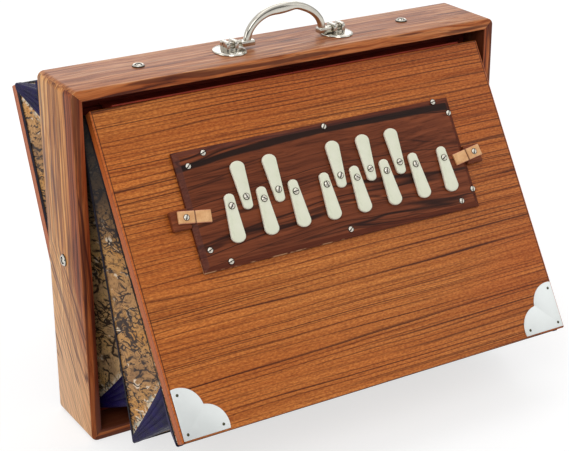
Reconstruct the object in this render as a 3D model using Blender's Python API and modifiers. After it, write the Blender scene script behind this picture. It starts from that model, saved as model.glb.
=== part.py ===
"""A shruti box: a drone reed organ in a shallow teak case, with both wedge bellows open.

The front board hangs from a leather hinge at its top and carries the stops and the reeds.
The back board stands on a hinge at its bottom and pumps the air. Metres, +Z up, and the
origin is the middle of the case's bottom face. The front of the box faces -Y.
"""

import math

import bmesh
import bpy
from mathutils import Matrix, Vector

# Clearance between touching pieces, and the softening of sawn edges
GAP = 0.0003
ARRIS = 0.0007

# Case
CASE_WIDTH = 0.400
CASE_HEIGHT = 0.302
CASE_DEPTH = 0.066
RAIL_THICKNESS = 0.009
CORNER_RADIUS = 0.0058
CORNER_STEPS = 4
PARTITION_THICKNESS = 0.008

# Swinging boards
BOARD_THICKNESS = 0.010
BOARD_RECESS = 0.0015
BOARD_SIDE_GAP = 0.0065
BOARD_HINGE_GAP = 0.0145
BOARD_FREE_GAP = 0.0085
FRONT_OPEN = math.radians(32.2)
BACK_OPEN = math.radians(22.7)

# Bellows: a frame on the partition, then four ribs round three sides of each board
FRAME_THICKNESS = 0.004
FRAME_MEMBER = 0.018
HINGE_BAR_HEIGHT = 0.0165
HINGE_BAR_END_GAP = 0.0195
RIB_INSET = 0.015
CREST_OVERHANG = 0.0025
RIB_THICKNESS = 0.0008
RIB_END_GAP = 0.0011
RIB_HINGE_END = 0.004
RIB_STEPS = 7
GUSSET_LENGTH = 0.030
GUSSET_NECK = 0.004
GUSSET_LIFT = 0.0006
GUSSET_THICKNESS = 0.0009
LEATHER_HINGE_THICKNESS = 0.0012

# Key plate and its thirteen stops
PLATE_THICKNESS = 0.005
PLATE_BEVEL = 0.0045
PLATE_BEVEL_DROP = 0.0025
PLATE_END_MARGIN = 0.0298
PLATE_EDGE_MARGIN = 0.0164
PLATE_OFFSET = 0.002
STOP_ROW_HEIGHT = 0.1675
STOP_ROW_SHIFT = 0.0055
STOP_ROW_SPACING = 0.0046
STOP_PITCH = 0.0292
STOP_LOW_COUNT = 8
STOP_GAPS_WITH_HIGH = (0, 1, 3, 4, 5)
STOP_LOW_TILTS = (-2.5, 0.0, 1.0, 0.5, 1.0, 2.5, 3.0, 1.0)
STOP_HIGH_TILTS = (0.0, 0.5, -2.0, -2.0, 0.0)
STOP_TAIL = 0.0102
STOP_REACH = 0.0298
STOP_THICKNESS = 0.0030
STOP_EDGE = 0.0005
STOP_NARROW_HALF_WIDTH = 0.0050
STOP_WIDE_HALF_WIDTH = 0.0070
STOP_NARROW_CAP = 0.0036
STOP_WIDE_CAP = 0.0056
STOP_ARC_STEPS = 6
TONE_HOLE_RADIUS = 0.0040
TONE_HOLE_DISTANCE = 0.0235
PIVOT_RADIUS = 0.0014
PIVOT_CLEARANCE = 0.0003
PIVOT_HEAD_RADIUS = 0.0027
PIVOT_HEAD_HEIGHT = 0.0013
PIVOT_DEPTH_IN_BOARD = 0.0050

# Leather finger pulls, each on a rosewood block level with the key plate
PULL_LENGTH = 0.0280
PULL_HEIGHT = 0.0100
PULL_THICKNESS = 0.0020
PULL_ROW_HEIGHT = 0.1635
PULL_LEFT_INSET = 0.0032
PULL_RIGHT_INSET = -0.0009
PULL_LEFT_TILT = math.radians(8.0)
PULL_RIGHT_TILT = math.radians(-9.0)
BLOCK_WIDTH = 0.0157
BLOCK_HEIGHT = 0.0160

# Nickel corner plates: two round lobes that meet in a notch
CORNER_PLATE_SIZE = 0.0395
CORNER_PLATE_MARGIN = 0.0015
CORNER_PLATE_THICKNESS = 0.0008
CORNER_LOBE_RADIUS = 0.0192
CORNER_LOBE_OFFSET = 0.0040
CORNER_LOBE_STEPS = 9

# Reed bank on the inner face of the front board
REED_BANK_MARGIN = 0.003
REED_BANK_THICKNESS = 0.0065
REED_WIDTH = 0.0090
REED_LENGTH = 0.0380
REED_THICKNESS = 0.0014
REED_SLOT_WIDTH = 0.0036
REED_SLOT_LENGTH = 0.0270
REED_TONGUE_WIDTH = 0.0028
REED_TONGUE_THICKNESS = 0.0004
REED_TONGUE_LIFT = 0.0004

# Air valves: a row of holes under one leather flap
VALVE_HOLE_RADIUS = 0.006
VALVE_HOLE_COUNT = 5
VALVE_HOLE_PITCH = 0.024
VALVE_FLAP_LAP = 0.009
VALVE_FLAP_THICKNESS = 0.0016
VALVE_HEIGHT = 0.075
INTAKE_DISTANCE = 0.150

# V springs of wire, one at each side inside both bellows
SPRING_WIRE_RADIUS = 0.0010
SPRING_COIL_RADIUS = 0.0060
SPRING_TURNS = 2
SPRING_PITCH = 0.0028
SPRING_COIL_DISTANCE = 0.042
SPRING_ARM_REACH = 0.150
SPRING_SIDE_DISTANCE = 0.0345
SPRING_TURN_POINTS = 12

# Carrying handle
HANDLE_OFFSET = 0.0062
HANDLE_PLATE_SPACING = 0.103
HANDLE_PLATE_HALF_LENGTH = 0.0134
HANDLE_PLATE_TAPER = 0.93
HANDLE_PLATE_HALF_WIDTH = 0.0170
HANDLE_PLATE_THICKNESS = 0.0016
EAR_LENGTH = 0.011
EAR_WIDTH = 0.012
EAR_HEIGHT = 0.0094
EAR_ROUND = 0.003
BAIL_PIVOT_HEIGHT = 0.0062
BAIL_PIN_RADIUS = 0.0017
BAIL_PIN_CLEARANCE = 0.0003
BAIL_END_GAP = 0.0015
BAIL_SIDE_PLAY = 0.0012
BAIL_FOOT_LENGTH = 0.013
BAIL_FOOT_WIDTH = 0.0078
BAIL_FOOT_THICKNESS = 0.0046
BAIL_RISE = 0.0278
BAIL_LEG_RADIUS = 0.0030
BAIL_LEG_INSET = 0.0045
BAIL_GRIP_RADIUS = 0.0041
BAIL_WAVE = 0.0006
BAIL_BULGE_OFFSET = -0.006
BAIL_BULGE_WIDTH = 0.009
BAIL_HOLLOW_OFFSET = 0.011
BAIL_HOLLOW_WIDTH = 0.006
BAIL_POINTS = 24
BAIL_SIDES_STEPS = 2

# Places that follow from the sizes above
INNER_HALF_WIDTH = CASE_WIDTH / 2 - RAIL_THICKNESS
INNER_HEIGHT = CASE_HEIGHT - 2 * RAIL_THICKNESS
BOARD_HALF_WIDTH = INNER_HALF_WIDTH - BOARD_SIDE_GAP
BOARD_HEIGHT = INNER_HEIGHT - BOARD_HINGE_GAP - BOARD_FREE_GAP
HINGE_Y = CASE_DEPTH / 2 - BOARD_RECESS - BOARD_THICKNESS
FRONT_HINGE_Z = CASE_HEIGHT - RAIL_THICKNESS - BOARD_HINGE_GAP
BACK_HINGE_Z = RAIL_THICKNESS + BOARD_HINGE_GAP
PARTITION_FACE = PARTITION_THICKNESS / 2
FRAME_FACE = PARTITION_FACE + GAP + FRAME_THICKNESS
PLATE_HALF_WIDTH = (STOP_LOW_COUNT - 1) * STOP_PITCH / 2 + PLATE_END_MARGIN
PLATE_HALF_HEIGHT = STOP_REACH + STOP_ROW_SPACING / 2 + PLATE_EDGE_MARGIN
PLATE_HEIGHT_Z = STOP_ROW_HEIGHT - BOARD_HEIGHT
PLATE_TOP_Y = -BOARD_THICKNESS - GAP - PLATE_THICKNESS
STOP_TOP_Y = PLATE_TOP_Y - GAP - STOP_THICKNESS
FLAP_HALF_WIDTH = (VALVE_HOLE_COUNT - 1) * VALVE_HOLE_PITCH / 2 + VALVE_HOLE_RADIUS + VALVE_FLAP_LAP
FLAP_HEIGHT = 2 * (VALVE_HOLE_RADIUS + VALVE_FLAP_LAP)
HANDLE_PIVOT_Z = CASE_HEIGHT + BAIL_PIVOT_HEIGHT


def clear_scene():
    for item in list(bpy.data.objects):
        bpy.data.objects.remove(item, do_unlink=True)


def new_collection(name):
    made = bpy.data.collections.new(name)
    bpy.context.scene.collection.children.link(made)
    return made


clear_scene()
PARTS = new_collection("shruti_box")
HELPERS = new_collection("shruti_box_cutters")


def new_material(name, colour, roughness, metallic=0.0):
    made = bpy.data.materials.new(name)
    made.use_nodes = True
    shader = made.node_tree.nodes["Principled BSDF"]
    shader.inputs["Base Color"].default_value = (*colour, 1.0)
    shader.inputs["Roughness"].default_value = roughness
    shader.inputs["Metallic"].default_value = metallic
    made.diffuse_color = (*colour, 1.0)
    return made


TEAK = new_material("teak", (0.42, 0.23, 0.12), 0.42)
TEAK_VENEER = new_material("teak_veneer", (0.40, 0.14, 0.045), 0.38)
PINE = new_material("inner_wood", (0.30, 0.16, 0.08), 0.6)
ROSEWOOD = new_material("rosewood", (0.10, 0.030, 0.018), 0.35)
IVORY = new_material("ivory_plastic", (0.72, 0.76, 0.62), 0.30)
NICKEL = new_material("nickel", (0.70, 0.69, 0.66), 0.25, 1.0)
CHROME = new_material("chrome", (0.78, 0.78, 0.76), 0.12, 1.0)
STEEL = new_material("spring_steel", (0.45, 0.45, 0.47), 0.35, 1.0)
TAN_LEATHER = new_material("tan_leather", (0.75, 0.42, 0.16), 0.55)
BLUE_LEATHER = new_material("blue_leather", (0.030, 0.018, 0.10), 0.5)
BROWN_LEATHER = new_material("brown_leather", (0.10, 0.025, 0.012), 0.6)
BELLOWS_CARD = new_material("bellows_card", (0.30, 0.23, 0.12), 0.45)


def pivot(name, location, rotation=(0.0, 0.0, 0.0)):
    """An empty that carries the pieces that turn about one axis."""
    made = bpy.data.objects.new(name, None)
    PARTS.objects.link(made)
    made.location = location
    made.rotation_euler = rotation
    return made


def add_piece(name, mesh, material, parent=None, location=(0, 0, 0), rotation=(0, 0, 0)):
    made = bpy.data.objects.new(name, mesh)
    PARTS.objects.link(made)
    mesh.materials.append(material)
    made.parent = parent
    made.location = location
    made.rotation_euler = rotation
    return made


def add_cutter(name, mesh, parent=None, location=(0, 0, 0), rotation=(0, 0, 0)):
    made = bpy.data.objects.new(name, mesh)
    HELPERS.objects.link(made)
    made.parent = parent
    made.location = location
    made.rotation_euler = rotation
    made.hide_render = True
    made.display_type = "WIRE"
    return made


def combine(piece, helper, operation):
    modifier = piece.modifiers.new(operation.lower() + "_" + helper.name, "BOOLEAN")
    modifier.operation = operation
    modifier.solver = "EXACT"
    modifier.object = helper


def mesh_from(name, form):
    mesh = bpy.data.meshes.new(name)
    bmesh.ops.recalc_face_normals(form, faces=form.faces)
    form.to_mesh(mesh)
    form.free()
    return mesh


def box_form(low, high):
    """A box between two opposite corners."""
    low = Vector(low)
    high = Vector(high)
    form = bmesh.new()
    place = Matrix.Translation((low + high) / 2) @ Matrix.Diagonal((*(high - low), 1.0))
    bmesh.ops.create_cube(form, size=1.0, matrix=place)
    return form


def soften(form, offset, segments=1, wanted=None):
    """Bevels the edges that wanted picks, or all of them."""
    edges = [edge for edge in form.edges if wanted is None or wanted(edge)]
    bmesh.ops.bevel(
        form, geom=edges, offset=offset, segments=segments, profile=0.5, affect="EDGES"
    )


def box_mesh(name, low, high, arris=0.0):
    form = box_form(low, high)
    if arris:
        soften(form, arris)
    return mesh_from(name, form)


def cylinder_form(radius, start, end, segments, form=None):
    """A closed cylinder between two points, added to form where one is given."""
    start = Vector(start)
    end = Vector(end)
    form = form or bmesh.new()
    turn = (end - start).to_track_quat("Z", "Y").to_matrix().to_4x4()
    bmesh.ops.create_cone(
        form,
        cap_ends=True,
        segments=segments,
        radius1=radius,
        radius2=radius,
        depth=(end - start).length,
        matrix=Matrix.Translation((start + end) / 2) @ turn,
    )
    return form


def cylinders_mesh(name, radius, ends, segments=12):
    form = bmesh.new()
    for start, end in ends:
        cylinder_form(radius, start, end, segments, form)
    return mesh_from(name, form)


def flat_curve(name, outlines, thickness, edge=0.0):
    """A filled 2D outline, with any holes in it, of this thickness and with chamfered edges."""
    curve = bpy.data.curves.new(name, "CURVE")
    curve.dimensions = "2D"
    curve.fill_mode = "BOTH"
    curve.extrude = thickness / 2 - edge
    curve.bevel_depth = edge
    curve.bevel_resolution = 0
    curve.offset = -edge
    for outline in outlines:
        spline = curve.splines.new("POLY")
        spline.points.add(len(outline) - 1)
        for point, place in zip(spline.points, outline):
            point.co = (*place, 0.0, 1.0)
        spline.use_cyclic_u = True
    return curve


def as_mesh(piece):
    """Replaces a curve object by the mesh that it makes, with its caps welded on."""
    bpy.context.view_layer.update()
    graph = bpy.context.evaluated_depsgraph_get()
    mesh = bpy.data.meshes.new_from_object(piece.evaluated_get(graph))
    form = bmesh.new()
    form.from_mesh(mesh)
    bmesh.ops.remove_doubles(form, verts=form.verts, dist=1e-6)
    bmesh.ops.recalc_face_normals(form, faces=form.faces)
    form.to_mesh(mesh)
    form.free()
    name = piece.name
    made = bpy.data.objects.new(name + "_mesh", mesh)
    PARTS.objects.link(made)
    made.parent = piece.parent
    made.matrix_world = piece.matrix_world.copy()
    bpy.data.objects.remove(piece, do_unlink=True)
    made.name = name
    return made


def smooth(piece, degrees=35.0):
    piece.data.shade_smooth()
    piece.data.set_sharp_from_angle(angle=math.radians(degrees))


def arc(centre, radius_x, radius_y, start, end, steps):
    """Points on an ellipse's arc, from one angle in degrees to another."""
    points = []
    for step in range(steps + 1):
        angle = math.radians(start + (end - start) * step / steps)
        points.append((centre[0] + radius_x * math.cos(angle), centre[1] + radius_y * math.sin(angle)))
    return points


# Case


def rail(name, top):
    """The top or bottom rail, which laps over the ends of the side rails."""
    low_z = CASE_HEIGHT - RAIL_THICKNESS if top else 0.0
    outer_z = CASE_HEIGHT if top else 0.0
    form = box_form(
        (-CASE_WIDTH / 2, -CASE_DEPTH / 2, low_z),
        (CASE_WIDTH / 2, CASE_DEPTH / 2, low_z + RAIL_THICKNESS),
    )

    def end_corner(edge):
        ends = [vert.co for vert in edge.verts]
        along_y = abs(ends[0].y - ends[1].y) > CASE_DEPTH / 2
        return along_y and all(abs(end.z - outer_z) < 1e-6 for end in ends)

    soften(form, CORNER_RADIUS, CORNER_STEPS, end_corner)

    def long_edge(edge):
        ends = [vert.co for vert in edge.verts]
        return abs(ends[0].x - ends[1].x) > CASE_WIDTH / 2

    soften(form, ARRIS, 1, long_edge)
    smooth(add_piece(name, mesh_from(name, form), TEAK))


def side_rail(name, side):
    outer = side * CASE_WIDTH / 2
    inner = side * INNER_HALF_WIDTH
    form = box_form(
        (min(outer, inner), -CASE_DEPTH / 2, RAIL_THICKNESS + GAP),
        (max(outer, inner), CASE_DEPTH / 2, CASE_HEIGHT - RAIL_THICKNESS - GAP),
    )

    def upright(edge):
        return abs(edge.verts[0].co.z - edge.verts[1].co.z) > CASE_HEIGHT / 2

    soften(form, ARRIS, 1, upright)
    add_piece(name, mesh_from(name, form), TEAK)


def hole_row_x():
    middle = (VALVE_HOLE_COUNT - 1) / 2
    return [(index - middle) * VALVE_HOLE_PITCH for index in range(VALVE_HOLE_COUNT)]


def partition():
    low = (-INNER_HALF_WIDTH + GAP, -PARTITION_FACE, RAIL_THICKNESS + GAP)
    high = (INNER_HALF_WIDTH - GAP, PARTITION_FACE, CASE_HEIGHT - RAIL_THICKNESS - GAP)
    piece = add_piece("partition", box_mesh("partition", low, high), PINE)
    ends = [
        ((x, -PARTITION_THICKNESS, VALVE_HEIGHT), (x, PARTITION_THICKNESS, VALVE_HEIGHT))
        for x in hole_row_x()
    ]
    holes = add_cutter("transfer_holes", cylinders_mesh("transfer_holes", VALVE_HOLE_RADIUS, ends))
    combine(piece, holes, "DIFFERENCE")


# Bellows, each built round its hinge axis as if that lay at the top of the board


def fold_rows():
    """Share of the opening angle, half width and reach of each fold line, from frame to board."""
    outer = (BOARD_HALF_WIDTH, BOARD_HEIGHT)
    crest = (BOARD_HALF_WIDTH + CREST_OVERHANG, BOARD_HEIGHT + CREST_OVERHANG / 2)
    valley = (BOARD_HALF_WIDTH - RIB_INSET, BOARD_HEIGHT - RIB_INSET)
    edge = (outer[0] - GAP, outer[1] - GAP)
    return [(0.0, *edge), (0.25, *valley), (0.5, *crest), (0.75, *valley), (1.0, *edge)]


def fold_point(share, x, reach, opening):
    """A point of a fold line, relative to the hinge axis of a board that hangs from it."""
    depth = (HINGE_Y - FRAME_FACE) * (1.0 - share)
    depth += RIB_END_GAP * (share - (1.0 - share))
    angle = share * opening
    y = depth * math.cos(angle) - reach * math.sin(angle)
    z = -depth * math.sin(angle) - reach * math.cos(angle)
    return (x, y, z)


def sheet_mesh(name, rows, outward):
    """A mesh over a grid of points, with its faces turned to look along outward."""
    form = bmesh.new()
    grid = [[form.verts.new(place) for place in row] for row in rows]
    for upper, lower in zip(grid, grid[1:]):
        for column in range(len(upper) - 1):
            form.faces.new((upper[column], upper[column + 1], lower[column + 1]))
            form.faces.new((upper[column], lower[column + 1], lower[column]))
    form.normal_update()
    if sum(face.normal.dot(outward(face.calc_center_median())) for face in form.faces) < 0:
        bmesh.ops.reverse_faces(form, faces=form.faces)
    mesh = bpy.data.meshes.new(name)
    form.to_mesh(mesh)
    form.free()
    return mesh


def thicken(piece, thickness, offset):
    modifier = piece.modifiers.new("thickness", "SOLIDIFY")
    modifier.thickness = thickness
    modifier.offset = offset
    modifier.use_even_offset = False


def away_from_chamber(place):
    """Outward direction at a point of the ribs: sideways on the sides, downward on the free side."""
    inside_x = BOARD_HALF_WIDTH - abs(place.x)
    inside_z = BOARD_HEIGHT + place.z
    if inside_x < inside_z:
        return Vector((math.copysign(1.0, place.x), 0.0, 0.0))
    return Vector((0.0, 0.0, -1.0))


def turn_length(index):
    """How far the corner leather reaches from the corner along this fold line."""
    return GUSSET_LENGTH if index % 2 else GUSSET_NECK


def bellows_ribs(name, carrier, opening):
    """Ribs down the left side, along the free side and up the right, split where the leathers end."""
    rows = []
    for index, (share, half_width, reach) in enumerate(fold_rows()):
        side_end = reach - turn_length(index)
        free_end = half_width - turn_length(index)
        downs = [
            RIB_HINGE_END + (side_end - RIB_HINGE_END) * step / RIB_STEPS
            for step in range(RIB_STEPS + 1)
        ]
        downs.append(reach)
        row = [fold_point(share, -half_width, down, opening) for down in downs]
        for step in range(RIB_STEPS + 1):
            across = -free_end + 2 * free_end * step / RIB_STEPS
            row.append(fold_point(share, across, reach, opening))
        row += [fold_point(share, half_width, down, opening) for down in reversed(downs)]
        rows.append(row)
    piece = add_piece(name, sheet_mesh(name, rows, away_from_chamber), BELLOWS_CARD, carrier)
    thicken(piece, RIB_THICKNESS, -1.0)


def gusset(name, side, carrier, opening):
    """Leather over the mitred corner of the ribs: narrow at each outer fold, wide at each inner one."""
    rows = []
    for index, (share, half_width, reach) in enumerate(fold_rows()):
        length = turn_length(index)
        x = half_width + GUSSET_LIFT
        down = reach + GUSSET_LIFT
        row = [
            fold_point(share, side * x, down - length, opening),
            fold_point(share, side * x, down, opening),
            fold_point(share, side * (x - length), down, opening),
        ]
        # The same order along the row as in the ribs gives both the same diagonals.
        rows.append(row if side < 0 else row[::-1])
    piece = add_piece(name, sheet_mesh(name, rows, away_from_chamber), BLUE_LEATHER, carrier)
    thicken(piece, GUSSET_THICKNESS, 1.0)


def hinge_leather(name, carrier, opening):
    """A strip from the hinge bar over the hinge line to the edge of the board."""
    half_width = BOARD_HALF_WIDTH - HINGE_BAR_END_GAP
    lift = GAP
    bend_lift = lift / math.cos(opening / 2)
    bend = (bend_lift * math.sin(opening / 2), bend_lift * math.cos(opening / 2))
    over_board = BOARD_THICKNESS - GAP
    section = (
        (HINGE_Y - PARTITION_FACE - GAP, lift),
        bend,
        (
            -over_board * math.cos(opening) + lift * math.sin(opening),
            over_board * math.sin(opening) + lift * math.cos(opening),
        ),
    )
    rows = [[(x, y, z) for y, z in section] for x in (-half_width, half_width)]
    mesh = sheet_mesh(name, rows, lambda place: Vector((0.0, 0.0, 1.0)))
    thicken(add_piece(name, mesh, BROWN_LEATHER, carrier), LEATHER_HINGE_THICKNESS, 1.0)


def bellows_frame(name, carrier):
    """The ring on the partition that the ribs are glued to, with the bar that the board hangs from."""
    back = HINGE_Y - PARTITION_FACE - GAP
    front = HINGE_Y - FRAME_FACE
    outer = box_form((-BOARD_HALF_WIDTH, front, -BOARD_HEIGHT), (BOARD_HALF_WIDTH, back, 0.0))
    piece = add_piece(name, mesh_from(name, outer), PINE, carrier)
    opening = add_cutter(
        name + "_opening",
        box_mesh(
            name + "_opening",
            (-BOARD_HALF_WIDTH + FRAME_MEMBER, front - FRAME_THICKNESS, -BOARD_HEIGHT + FRAME_MEMBER),
            (BOARD_HALF_WIDTH - FRAME_MEMBER, back + FRAME_THICKNESS, -HINGE_BAR_HEIGHT),
        ),
        carrier,
    )
    combine(piece, opening, "DIFFERENCE")
    half_bar = BOARD_HALF_WIDTH - HINGE_BAR_END_GAP
    bar = add_cutter(
        name + "_bar",
        box_mesh(
            name + "_bar",
            (-half_bar, GAP, -HINGE_BAR_HEIGHT - GAP),
            (half_bar, back - FRAME_THICKNESS / 2, -GAP),
        ),
        carrier,
    )
    combine(piece, bar, "UNION")


def tangent_angle(centre, radius, point, turn):
    """Angle at which a line from point touches the circle, on the side that turn gives."""
    away = (point[0] - centre[0], point[1] - centre[1])
    distance = math.hypot(*away)
    return math.atan2(away[1], away[0]) + turn * math.acos(radius / distance)


def spring(name, side, carrier, opening):
    """A V of wire: one arm lies on the partition, one on the board, and the coil sits near the hinge."""
    x = side * (BOARD_HALF_WIDTH - SPRING_SIDE_DISTANCE)
    stand_off = SPRING_WIRE_RADIUS + GAP
    on_partition = (HINGE_Y - PARTITION_FACE - stand_off, -SPRING_ARM_REACH)
    on_board = (
        stand_off * math.cos(opening) - SPRING_ARM_REACH * math.sin(opening),
        -stand_off * math.sin(opening) - SPRING_ARM_REACH * math.cos(opening),
    )
    middle_y = HINGE_Y - PARTITION_FACE - SPRING_COIL_DISTANCE * math.sin(opening)
    centre = (middle_y / 2, -SPRING_COIL_DISTANCE)
    start = tangent_angle(centre, SPRING_COIL_RADIUS, on_partition, 1)
    end = tangent_angle(centre, SPRING_COIL_RADIUS, on_board, -1)
    while end < start:
        end += 2 * math.pi
    end += 2 * math.pi * SPRING_TURNS
    count = max(8, round((end - start) / (2 * math.pi) * SPRING_TURN_POINTS))
    rise = SPRING_PITCH * (end - start) / (2 * math.pi)
    points = [(x - side * rise / 2, *on_partition)]
    for step in range(count + 1):
        angle = start + (end - start) * step / count
        across = x + side * rise * (step / count - 0.5)
        y = centre[0] + SPRING_COIL_RADIUS * math.cos(angle)
        z = centre[1] + SPRING_COIL_RADIUS * math.sin(angle)
        points.append((across, y, z))
    points.append((x + side * rise / 2, *on_board))
    curve = bpy.data.curves.new(name, "CURVE")
    curve.dimensions = "3D"
    curve.bevel_depth = SPRING_WIRE_RADIUS
    curve.bevel_resolution = 1
    curve.use_fill_caps = True
    spline = curve.splines.new("POLY")
    spline.points.add(len(points) - 1)
    for point, place in zip(spline.points, points):
        point.co = (*place, 1.0)
    add_piece(name, curve, STEEL, carrier)


def bellows(prefix, carrier, opening):
    bellows_frame(prefix + "_bellows_frame", carrier)
    bellows_ribs(prefix + "_bellows", carrier, opening)
    hinge_leather(prefix + "_hinge_leather", carrier, opening)
    # The back carrier is turned over, which leaves its left and right where they are.
    for word, side in (("left", -1), ("right", 1)):
        gusset(prefix + "_gusset_" + word, side, carrier, opening)
        spring(prefix + "_spring_" + word, side, carrier, opening)


# Front board and what it carries, in the frame of its hinge axis


def stop_places():
    """Name, pivot place, direction of the wide end and tilt of each stop, from left to right."""
    centre_x = PLATE_OFFSET + STOP_ROW_SHIFT
    low_z = PLATE_HEIGHT_Z - STOP_ROW_SPACING / 2
    high_z = PLATE_HEIGHT_Z + STOP_ROW_SPACING / 2
    first = centre_x - (STOP_LOW_COUNT - 1) * STOP_PITCH / 2
    places = []
    for index, tilt in zip(range(STOP_LOW_COUNT), STOP_LOW_TILTS):
        places.append((first + index * STOP_PITCH, low_z, -1, tilt))
    for index, tilt in zip(STOP_GAPS_WITH_HIGH, STOP_HIGH_TILTS):
        places.append((first + (index + 0.5) * STOP_PITCH, high_z, 1, tilt))
    places.sort()
    return [(f"{number:02d}", *place) for number, place in enumerate(places, 1)]


def stop_turn(direction, tilt):
    """Turn about the board's normal: the wide end points down or up, leaning by the tilt."""
    half_turn = 0.0 if direction < 0 else math.pi
    return half_turn - math.radians(tilt)


def tone_hole_place(x, z, direction, tilt):
    lean = math.radians(tilt) * (1 if direction < 0 else -1)
    return (
        x + TONE_HOLE_DISTANCE * math.sin(lean),
        z + direction * TONE_HOLE_DISTANCE * math.cos(lean),
    )


def stop_outline():
    """The paddle outline with its pivot at the origin and its wide end at -Y."""
    wide_y = -STOP_REACH + STOP_WIDE_CAP
    narrow_y = STOP_TAIL - STOP_NARROW_CAP
    wide = arc((0.0, wide_y), STOP_WIDE_HALF_WIDTH, STOP_WIDE_CAP, 180, 360, STOP_ARC_STEPS)
    narrow = arc((0.0, narrow_y), STOP_NARROW_HALF_WIDTH, STOP_NARROW_CAP, 0, 180, STOP_ARC_STEPS)
    return wide + narrow


def stops(board):
    hole_radius = PIVOT_RADIUS + PIVOT_CLEARANCE
    hole = arc((0.0, 0.0), hole_radius, hole_radius, 0, 315, 7)
    for number, x, z, direction, tilt in stop_places():
        name = "stop_" + number
        curve = flat_curve(name, (stop_outline(), hole), STOP_THICKNESS, STOP_EDGE)
        middle_y = PLATE_TOP_Y - GAP - STOP_THICKNESS / 2
        turn = Matrix.Rotation(stop_turn(direction, tilt), 3, "Y") @ Matrix.Rotation(math.pi / 2, 3, "X")
        add_piece(name, curve, IVORY, board, (x, middle_y, z), turn.to_euler())
        pivot_screw("stop_screw_" + number, x, z, board)


def pivot_screw(name, x, z, board):
    """A round-headed screw: its profile runs down from the head's top to the shank's end."""
    shank = GAP + STOP_THICKNESS + GAP + PLATE_THICKNESS + GAP + PIVOT_DEPTH_IN_BOARD
    head = PIVOT_HEAD_HEIGHT
    profile = (
        (0.0, head),
        (PIVOT_HEAD_RADIUS * 0.7, head * 0.85),
        (PIVOT_HEAD_RADIUS, head * 0.35),
        (PIVOT_HEAD_RADIUS, 0.0),
        (PIVOT_RADIUS, 0.0),
        (PIVOT_RADIUS, -shank),
        (0.0, -shank),
    )
    mesh = bpy.data.meshes.new(name)
    edges = [(index, index + 1) for index in range(len(profile) - 1)]
    mesh.from_pydata([(radius, 0.0, height) for radius, height in profile], edges, [])
    piece = add_piece(name, mesh, NICKEL, board, (x, STOP_TOP_Y - GAP, z), (math.pi / 2, 0, 0))
    modifier = piece.modifiers.new("turned", "SCREW")
    modifier.steps = 10
    modifier.render_steps = 10
    modifier.use_merge_vertices = True
    modifier.merge_threshold = 0.00001
    modifier.use_smooth_shade = True


def front_board(board):
    low = (-BOARD_HALF_WIDTH, -BOARD_THICKNESS, -BOARD_HEIGHT)
    piece = add_piece(
        "front_board",
        box_mesh("front_board", low, (BOARD_HALF_WIDTH, 0.0, 0.0), ARRIS),
        TEAK_VENEER,
        board,
    )
    past = PLATE_THICKNESS
    tone_ends = []
    pivot_ends = []
    for number, x, z, direction, tilt in stop_places():
        hole_x, hole_z = tone_hole_place(x, z, direction, tilt)
        tone_ends.append(((hole_x, PLATE_TOP_Y - past, hole_z), (hole_x, past, hole_z)))
        bottom = -BOARD_THICKNESS + PIVOT_DEPTH_IN_BOARD + GAP
        pivot_ends.append(((x, PLATE_TOP_Y - past, z), (x, bottom, z)))
    tone_mesh = cylinders_mesh("tone_holes", TONE_HOLE_RADIUS, tone_ends)
    pivot_mesh = cylinders_mesh("pivot_holes", PIVOT_RADIUS + PIVOT_CLEARANCE, pivot_ends, 8)
    tone_holes = add_cutter("tone_holes", tone_mesh, board)
    pivot_holes = add_cutter("pivot_holes", pivot_mesh, board)
    plate = key_plate(board)
    for wood in (piece, plate):
        combine(wood, tone_holes, "DIFFERENCE")
        combine(wood, pivot_holes, "DIFFERENCE")


def key_plate(board):
    """A rosewood plate whose four outer edges are planed down to a thin lip."""
    left = PLATE_OFFSET - PLATE_HALF_WIDTH
    right = PLATE_OFFSET + PLATE_HALF_WIDTH
    bottom = PLATE_HEIGHT_Z - PLATE_HALF_HEIGHT
    top = PLATE_HEIGHT_Z + PLATE_HALF_HEIGHT
    form = box_form((left, PLATE_TOP_Y, bottom), (right, -BOARD_THICKNESS - GAP, top))
    face = min(form.faces, key=lambda item: item.calc_center_median().y)
    bmesh.ops.inset_region(form, faces=[face], thickness=PLATE_BEVEL, use_even_offset=True)
    for vert in form.verts:
        on_rim = abs(vert.co.x - left) < 1e-6 or abs(vert.co.x - right) < 1e-6
        if on_rim and abs(vert.co.y - PLATE_TOP_Y) < 1e-6:
            vert.co.y += PLATE_BEVEL_DROP
    return add_piece("key_plate", mesh_from("key_plate", form), ROSEWOOD, board)


def finger_pulls(board):
    """A leather tongue at each end of the key plate, half on it and half on a block of its height."""
    block_z = PULL_ROW_HEIGHT - BOARD_HEIGHT
    pull_low_y = PLATE_TOP_Y - GAP - PULL_THICKNESS
    for word, side, inset, tilt in (
        ("left", -1, PULL_LEFT_INSET, PULL_LEFT_TILT),
        ("right", 1, PULL_RIGHT_INSET, PULL_RIGHT_TILT),
    ):
        plate_end = PLATE_OFFSET + side * PLATE_HALF_WIDTH
        near = plate_end + side * GAP
        far = near + side * BLOCK_WIDTH
        block = box_mesh(
            "pull_block_" + word,
            (min(near, far), PLATE_TOP_Y, block_z - BLOCK_HEIGHT / 2),
            (max(near, far), -BOARD_THICKNESS - GAP, block_z + BLOCK_HEIGHT / 2),
            ARRIS,
        )
        add_piece("pull_block_" + word, block, ROSEWOOD, board)
        tongue = box_mesh(
            "finger_pull_" + word,
            (-PULL_LENGTH / 2, 0.0, -PULL_HEIGHT / 2),
            (PULL_LENGTH / 2, PULL_THICKNESS, PULL_HEIGHT / 2),
            ARRIS / 2,
        )
        place = (plate_end - side * inset, pull_low_y, block_z)
        add_piece("finger_pull_" + word, tongue, TAN_LEATHER, board, place, (0.0, tilt, 0.0))


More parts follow.
